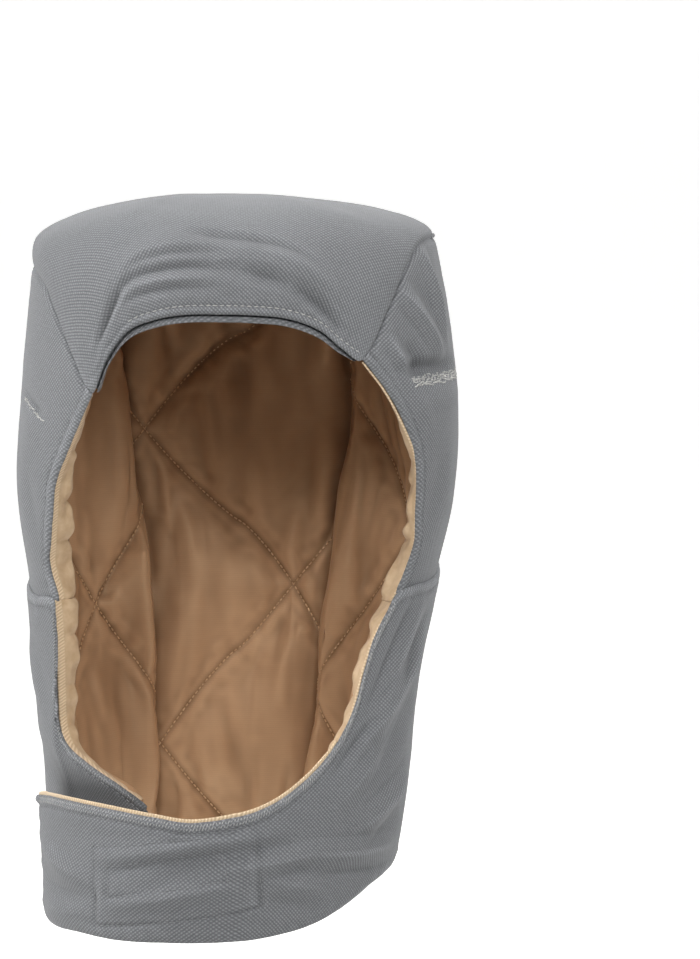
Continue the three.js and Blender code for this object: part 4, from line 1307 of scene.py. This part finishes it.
def lining(name, left, right, columns, rows, left_pad=None, right_pad=None):
    """A quilted panel between two edges, either a back seam or, with a pad, an edge of the face opening."""
    behind = FACING_CLEAR + FACING

    def grid(lean, columns, rows):
        theta, z = between(
            lambda q: left(q) + (lean + behind if left_pad else -SEAM_LAP) / ARC,
            lambda q: right(q) - (lean + behind if right_pad else -SEAM_LAP) / ARC,
            lambda a: HEM_Z + LINING_FOOT + 0 * a,
            lambda a: seam_z(a) - LINING_TOP,
            np.linspace(0, 1, columns + 1),
            np.linspace(0, 1, rows + 1),
        )
        return theta, z, np.minimum(folds(SHELL_FOLDS, theta, z), 0) * SHELL_ROOM - TWILL - LINING_GAP

    def stitched(theta, z):
        """Distance from the nearest quilting line."""
        pitch = 2 * DIAMOND_ACROSS * DIAMOND_UP / math.hypot(DIAMOND_ACROSS, DIAMOND_UP)
        return np.min([np.abs(run - np.round(run)) * pitch for run in quilting(name, theta, z)], axis=0)

    def sewn(theta, z, out):
        """The skin before its satin slackens: puffs between the stitches, a roll beside a back seam and the
        padded edge of the face opening."""
        off_left, off_right = (theta - left(z)) * ARC, (right(z) - theta) * ARC
        depth = STITCHED + PUFF * (1 - np.exp(-stitched(theta, z) / PUFF_TURN))
        for pad, off in ((left_pad, off_left), (right_pad, off_right)):
            if pad:
                depth = mix(pad(z), depth, full(np.maximum(off - LEAN_TO, 0)))
            elif name == "back":
                depth = mix(SEAMED, depth, ease(off, 0, ROLL_WIDTH))
            else:
                rise = np.sqrt(np.clip(off / ROLL_AT, 0, 1))
                depth = mix(SEAMED, depth + ROLL * bump(off, ROLL_AT, ROLL_WIDTH), rise)
        return body(theta, z, out - depth)

    theta, z, out = grid(LEAN_TO, columns, rows)
    start = sewn(theta, z, out)
    pinned = stitched(theta, z) < PINNED
    pinned[[0, -1]] = pinned[:, [0, -1]] = True
    shift = slacken(start, start * (CUT_ACROSS, CUT_ACROSS, CUT_UP), pinned)
    size = np.linalg.norm(shift, axis=-1, keepdims=True)
    shift *= MOST_SHIFT * np.tanh(size / MOST_SHIFT) / np.maximum(size, 1e-6)

    theta, z, out = grid(LEAN_TO, 2 * columns, 2 * rows)
    away = stitched(theta, z)
    inner = sewn(theta, z, out) + finer(shift) * full(away, 5)[..., None]
    creases = folds(pulls(theta, z), theta, z, fade=1) * full(away, PULL_CLEAR)
    for height, size, upright, seed, clear in zip(*CREASES.values()):
        creases += height * uneven(inner * (1, 1, upright), size, seed) * full(away, clear)
    beside = bump(away, GATHERS["off"], GATHERS["spread"])
    creases += GATHERS["height"] * uneven(inner, GATHERS["size"], 22) * beside
    inner -= normals(inner) * creases[..., None]
    outer = body(*grid(LEAN_FROM, 2 * columns, 2 * rows))
    weave = np.stack([theta * ARC, z], axis=-1)
    # Painted shade towards the top of the hood and beside the back seams, given to the crest attribute
    shaded = ease(z, *TOP_SHADE)
    if name == "back":
        for off in ((theta - left(z)) * ARC, (right(z) - theta) * ARC):
            shaded += sum(depth * bump(off, 0, width) for depth, width in SEAM_SHADES)
    piece = sew(f"lining_{name}_quilt", outer, inner, weave, bulge=0.3, span=3, painted_shade_depth=SHADE * shaded)
    piece.data.materials.append(satin)
    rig.ride(piece, "root")
    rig.replaces(piece, f"lining_{name}")
    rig.slot(piece, "quilted_satin")
    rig.padded(piece, 0.4)
    lines = (inner - normals(inner) * THREAD_LIFT).swapaxes(0, 1)
    seams = [
        where(lines, run.T, level)
        for run in quilting(name, theta, z)
        for level in range(math.ceil(run.min()), math.floor(run.max()) + 1)
    ]
    stitch(
        f"lining_{name}_thread",
        [seam for seam in seams if len(seam) > 2],
        quilting_thread,
        pitch=2.8,
        length=2.3,
        thickness=0.8,
    )


RIGHT_END = 336  # the right lining stops here, behind the flap
lining("left", opening["left"], lining_seam["left"], 56, 104, left_pad=opening["left_pad"])
lining("back", lining_seam["left"], lining_seam["right"], 40, 104)
lining(
    "right",
    lining_seam["right"],
    lambda q: np.minimum(opening["right"](q), RIGHT_END),
    56,
    104,
    right_pad=opening["right_pad"],
)

theta, row = np.meshgrid(np.linspace(0, 360, 240, endpoint=False), np.linspace(0, 1, 51))
CROWN_FOOT, BROW_FOOT = 4, 16  # above the rim, and above the brow facing
CROWN_GAP, BROW_ROOM = 1.6, 3.4  # between the crown and its lining, with room for the brow facing
brow = 1 - ease(np.abs(bearing(theta)), 27, 39)
flat = crown(theta, mix(crown_row(theta, mix(CROWN_FOOT, BROW_FOOT, brow)), 1, row))
loose = TWILL + CROWN_GAP + BROW_ROOM * brow * (1 - ease(row, 0, 0.5))
outer = flat - normals(flat, ring=True) * loose[..., None]
depth = loose + mix(STITCHED, CROWN_PAD, ease(row, 0, 0.2))
inner = flat - normals(flat, ring=True) * depth[..., None]
lining_crown = sew("lining_crown_quilt", outer, inner, crown_weave(flat), ring=True, bulge=0.5)
lining_crown.data.materials.append(satin)
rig.ride(lining_crown, "root")
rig.replaces(lining_crown, "lining_crown")
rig.slot(lining_crown, "quilted_satin")
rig.padded(lining_crown, 0.4)

FLAP_HEM, FLAP_TURN, FLAP_LINING = 9, 9.5, 2.2  # bare twill below and above the flap's lining; its thickness
along, share = np.meshgrid(np.linspace(FLAP_FROM, FLAP_TO, 121), np.linspace(0, 1, 21))
tall = band["z"](along) - band["hem_z"](along)
theta, z = band_place(along, mix(FLAP_HEM / tall, 1 - FLAP_TURN / tall, share))
flat = body(theta, z, band["out"](along) + folds(SHELL_FOLDS, theta, z))
outer = flat - normals(flat) * (TWILL + LINING_GAP)
lining_flap = sew(
    "lining_flap_satin", outer, outer - normals(flat) * FLAP_LINING, np.stack([theta * ARC, z], axis=-1)
)
lining_flap.data.materials.append(satin)
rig.ride(lining_flap, "root")
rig.replaces(lining_flap, "lining_flap")
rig.slot(lining_flap, "quilted_satin")
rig.sheet(lining_flap, held="laid", rests_on=["neck_band"], **cut(flat))

# Floor, light and camera
# A pale seamless floor below the hanging hood, two narrow soft lights in front that reach into the face
# opening, and wide ones above, behind and on each side.
FLOOR_Z, WALL_Y, SWEEP = -0.75, 3.0, 1.5
FLOOR_FRONT, FLOOR_SIDE, WALL_TOP = -6, 7, 6
bend = np.radians(np.linspace(0, 90, 25))
curl = zip(WALL_Y + SWEEP * np.sin(bend), FLOOR_Z + SWEEP * (1 - np.cos(bend)))
profile = [(FLOOR_FRONT, FLOOR_Z), *curl, (WALL_Y + SWEEP, WALL_TOP)]
floor_mesh = bpy.data.meshes.new("floor")
floor_mesh.from_pydata(
    [(x, y, up) for y, up in profile for x in (-FLOOR_SIDE, FLOOR_SIDE)],
    [],
    [(2 * i, 2 * i + 1, 2 * i + 3, 2 * i + 2) for i in range(len(profile) - 1)],
)
floor_mesh.shade_smooth()
floor = bpy.data.objects.new("floor", floor_mesh)
bpy.context.scene.collection.objects.link(floor)
# White paper: dull, and glowing by itself where it rises at the back, a painted light that fades it to white
paper = bpy.data.materials.new("white_paper")
paper.use_nodes = True
tree = paper.node_tree
place = node(tree, "ShaderNodeTexCoord").outputs["Object"]
behind = node(tree, "ShaderNodeSeparateXYZ", {"Vector": place}).outputs["Y"]
glow = node(
    tree,
    "ShaderNodeMapRange",
    {"Value": behind, "From Min": 0.1, "From Max": 1.0, "To Min": 0, "To Max": 0.62},
).outputs[0]
shader = tree.nodes["Principled BSDF"]
shader.inputs["Base Color"].default_value = srgb("f4f4f2")
shader.inputs["Roughness"].default_value = 0.9
shader.inputs["Emission Color"].default_value = srgb("ffffff")
tree.links.new(glow, shader.inputs["Emission Strength"])
floor_mesh.materials.append(paper)
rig.stage(floor)

world = bpy.data.worlds.new("studio")
world.use_nodes = True
world.node_tree.nodes["Background"].inputs["Color"].default_value = srgb("ffffff")
world.node_tree.nodes["Background"].inputs["Strength"].default_value = 0.1
bpy.context.scene.world = world
for name, spot, aim, size, power, spread in (
    ("front_left", (-0.75, -1.72, 0.88), (0, 0, -0.1), 0.6, 1.2, 44),
    ("front_right", (0.7, -1.72, 0.66), (0, 0, -0.1), 0.6, 1.02, 44),
    ("left", (-1.9, -0.1, 0.8), (0, 0, -0.1), 0.7, 31, 180),
    ("right", (1.7, -0.2, 1.05), (0, 0, -0.1), 0.7, 13, 180),
    ("top", (-0.3, -0.4, 1.9), (0, 0, 0), 0.8, 10, 180),
    ("back", (0.5, 1.2, 1.3), (0, 0, -0.1), 0.9, 14, 180),
):
    lamp = bpy.data.lights.new(name, "AREA")
    lamp.size, lamp.energy, lamp.spread = size, power, math.radians(spread)
    light = bpy.data.objects.new(name, lamp)
    light.location = spot
    light.rotation_euler = (Vector(aim) - Vector(spot)).to_track_quat("-Z", "Y").to_euler()
    bpy.context.scene.collection.objects.link(light)

AIM = Vector((0, 0, -0.18))
TILT, EYE_AWAY = math.radians(8), 1.6
CENTRE_RIGHT, CENTRE_UP = 0.0571, 0.0421  # the hood hangs left of the picture's centre and below it
EYE = AIM + Vector((0, -math.cos(TILT), math.sin(TILT))) * EYE_AWAY
FRAME_CENTRE = AIM + Vector((CENTRE_RIGHT, 0, 0)) + Vector((0, math.sin(TILT), math.cos(TILT))) * CENTRE_UP
lens = bpy.data.cameras.new("camera")
lens.lens = 117.8
camera = bpy.data.objects.new("camera", lens)
camera.location = EYE
camera.rotation_euler = (FRAME_CENTRE - EYE).to_track_quat("-Z", "Y").to_euler()
bpy.context.scene.collection.objects.link(camera)
bpy.context.scene.camera = camera
bpy.context.scene.view_settings.view_transform = "Standard"

with open("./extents.json", "w") as f:
    json.dump({"cad": [list(c) for c in cad_box], "visual": [list(c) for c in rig.bounds()]}, f)
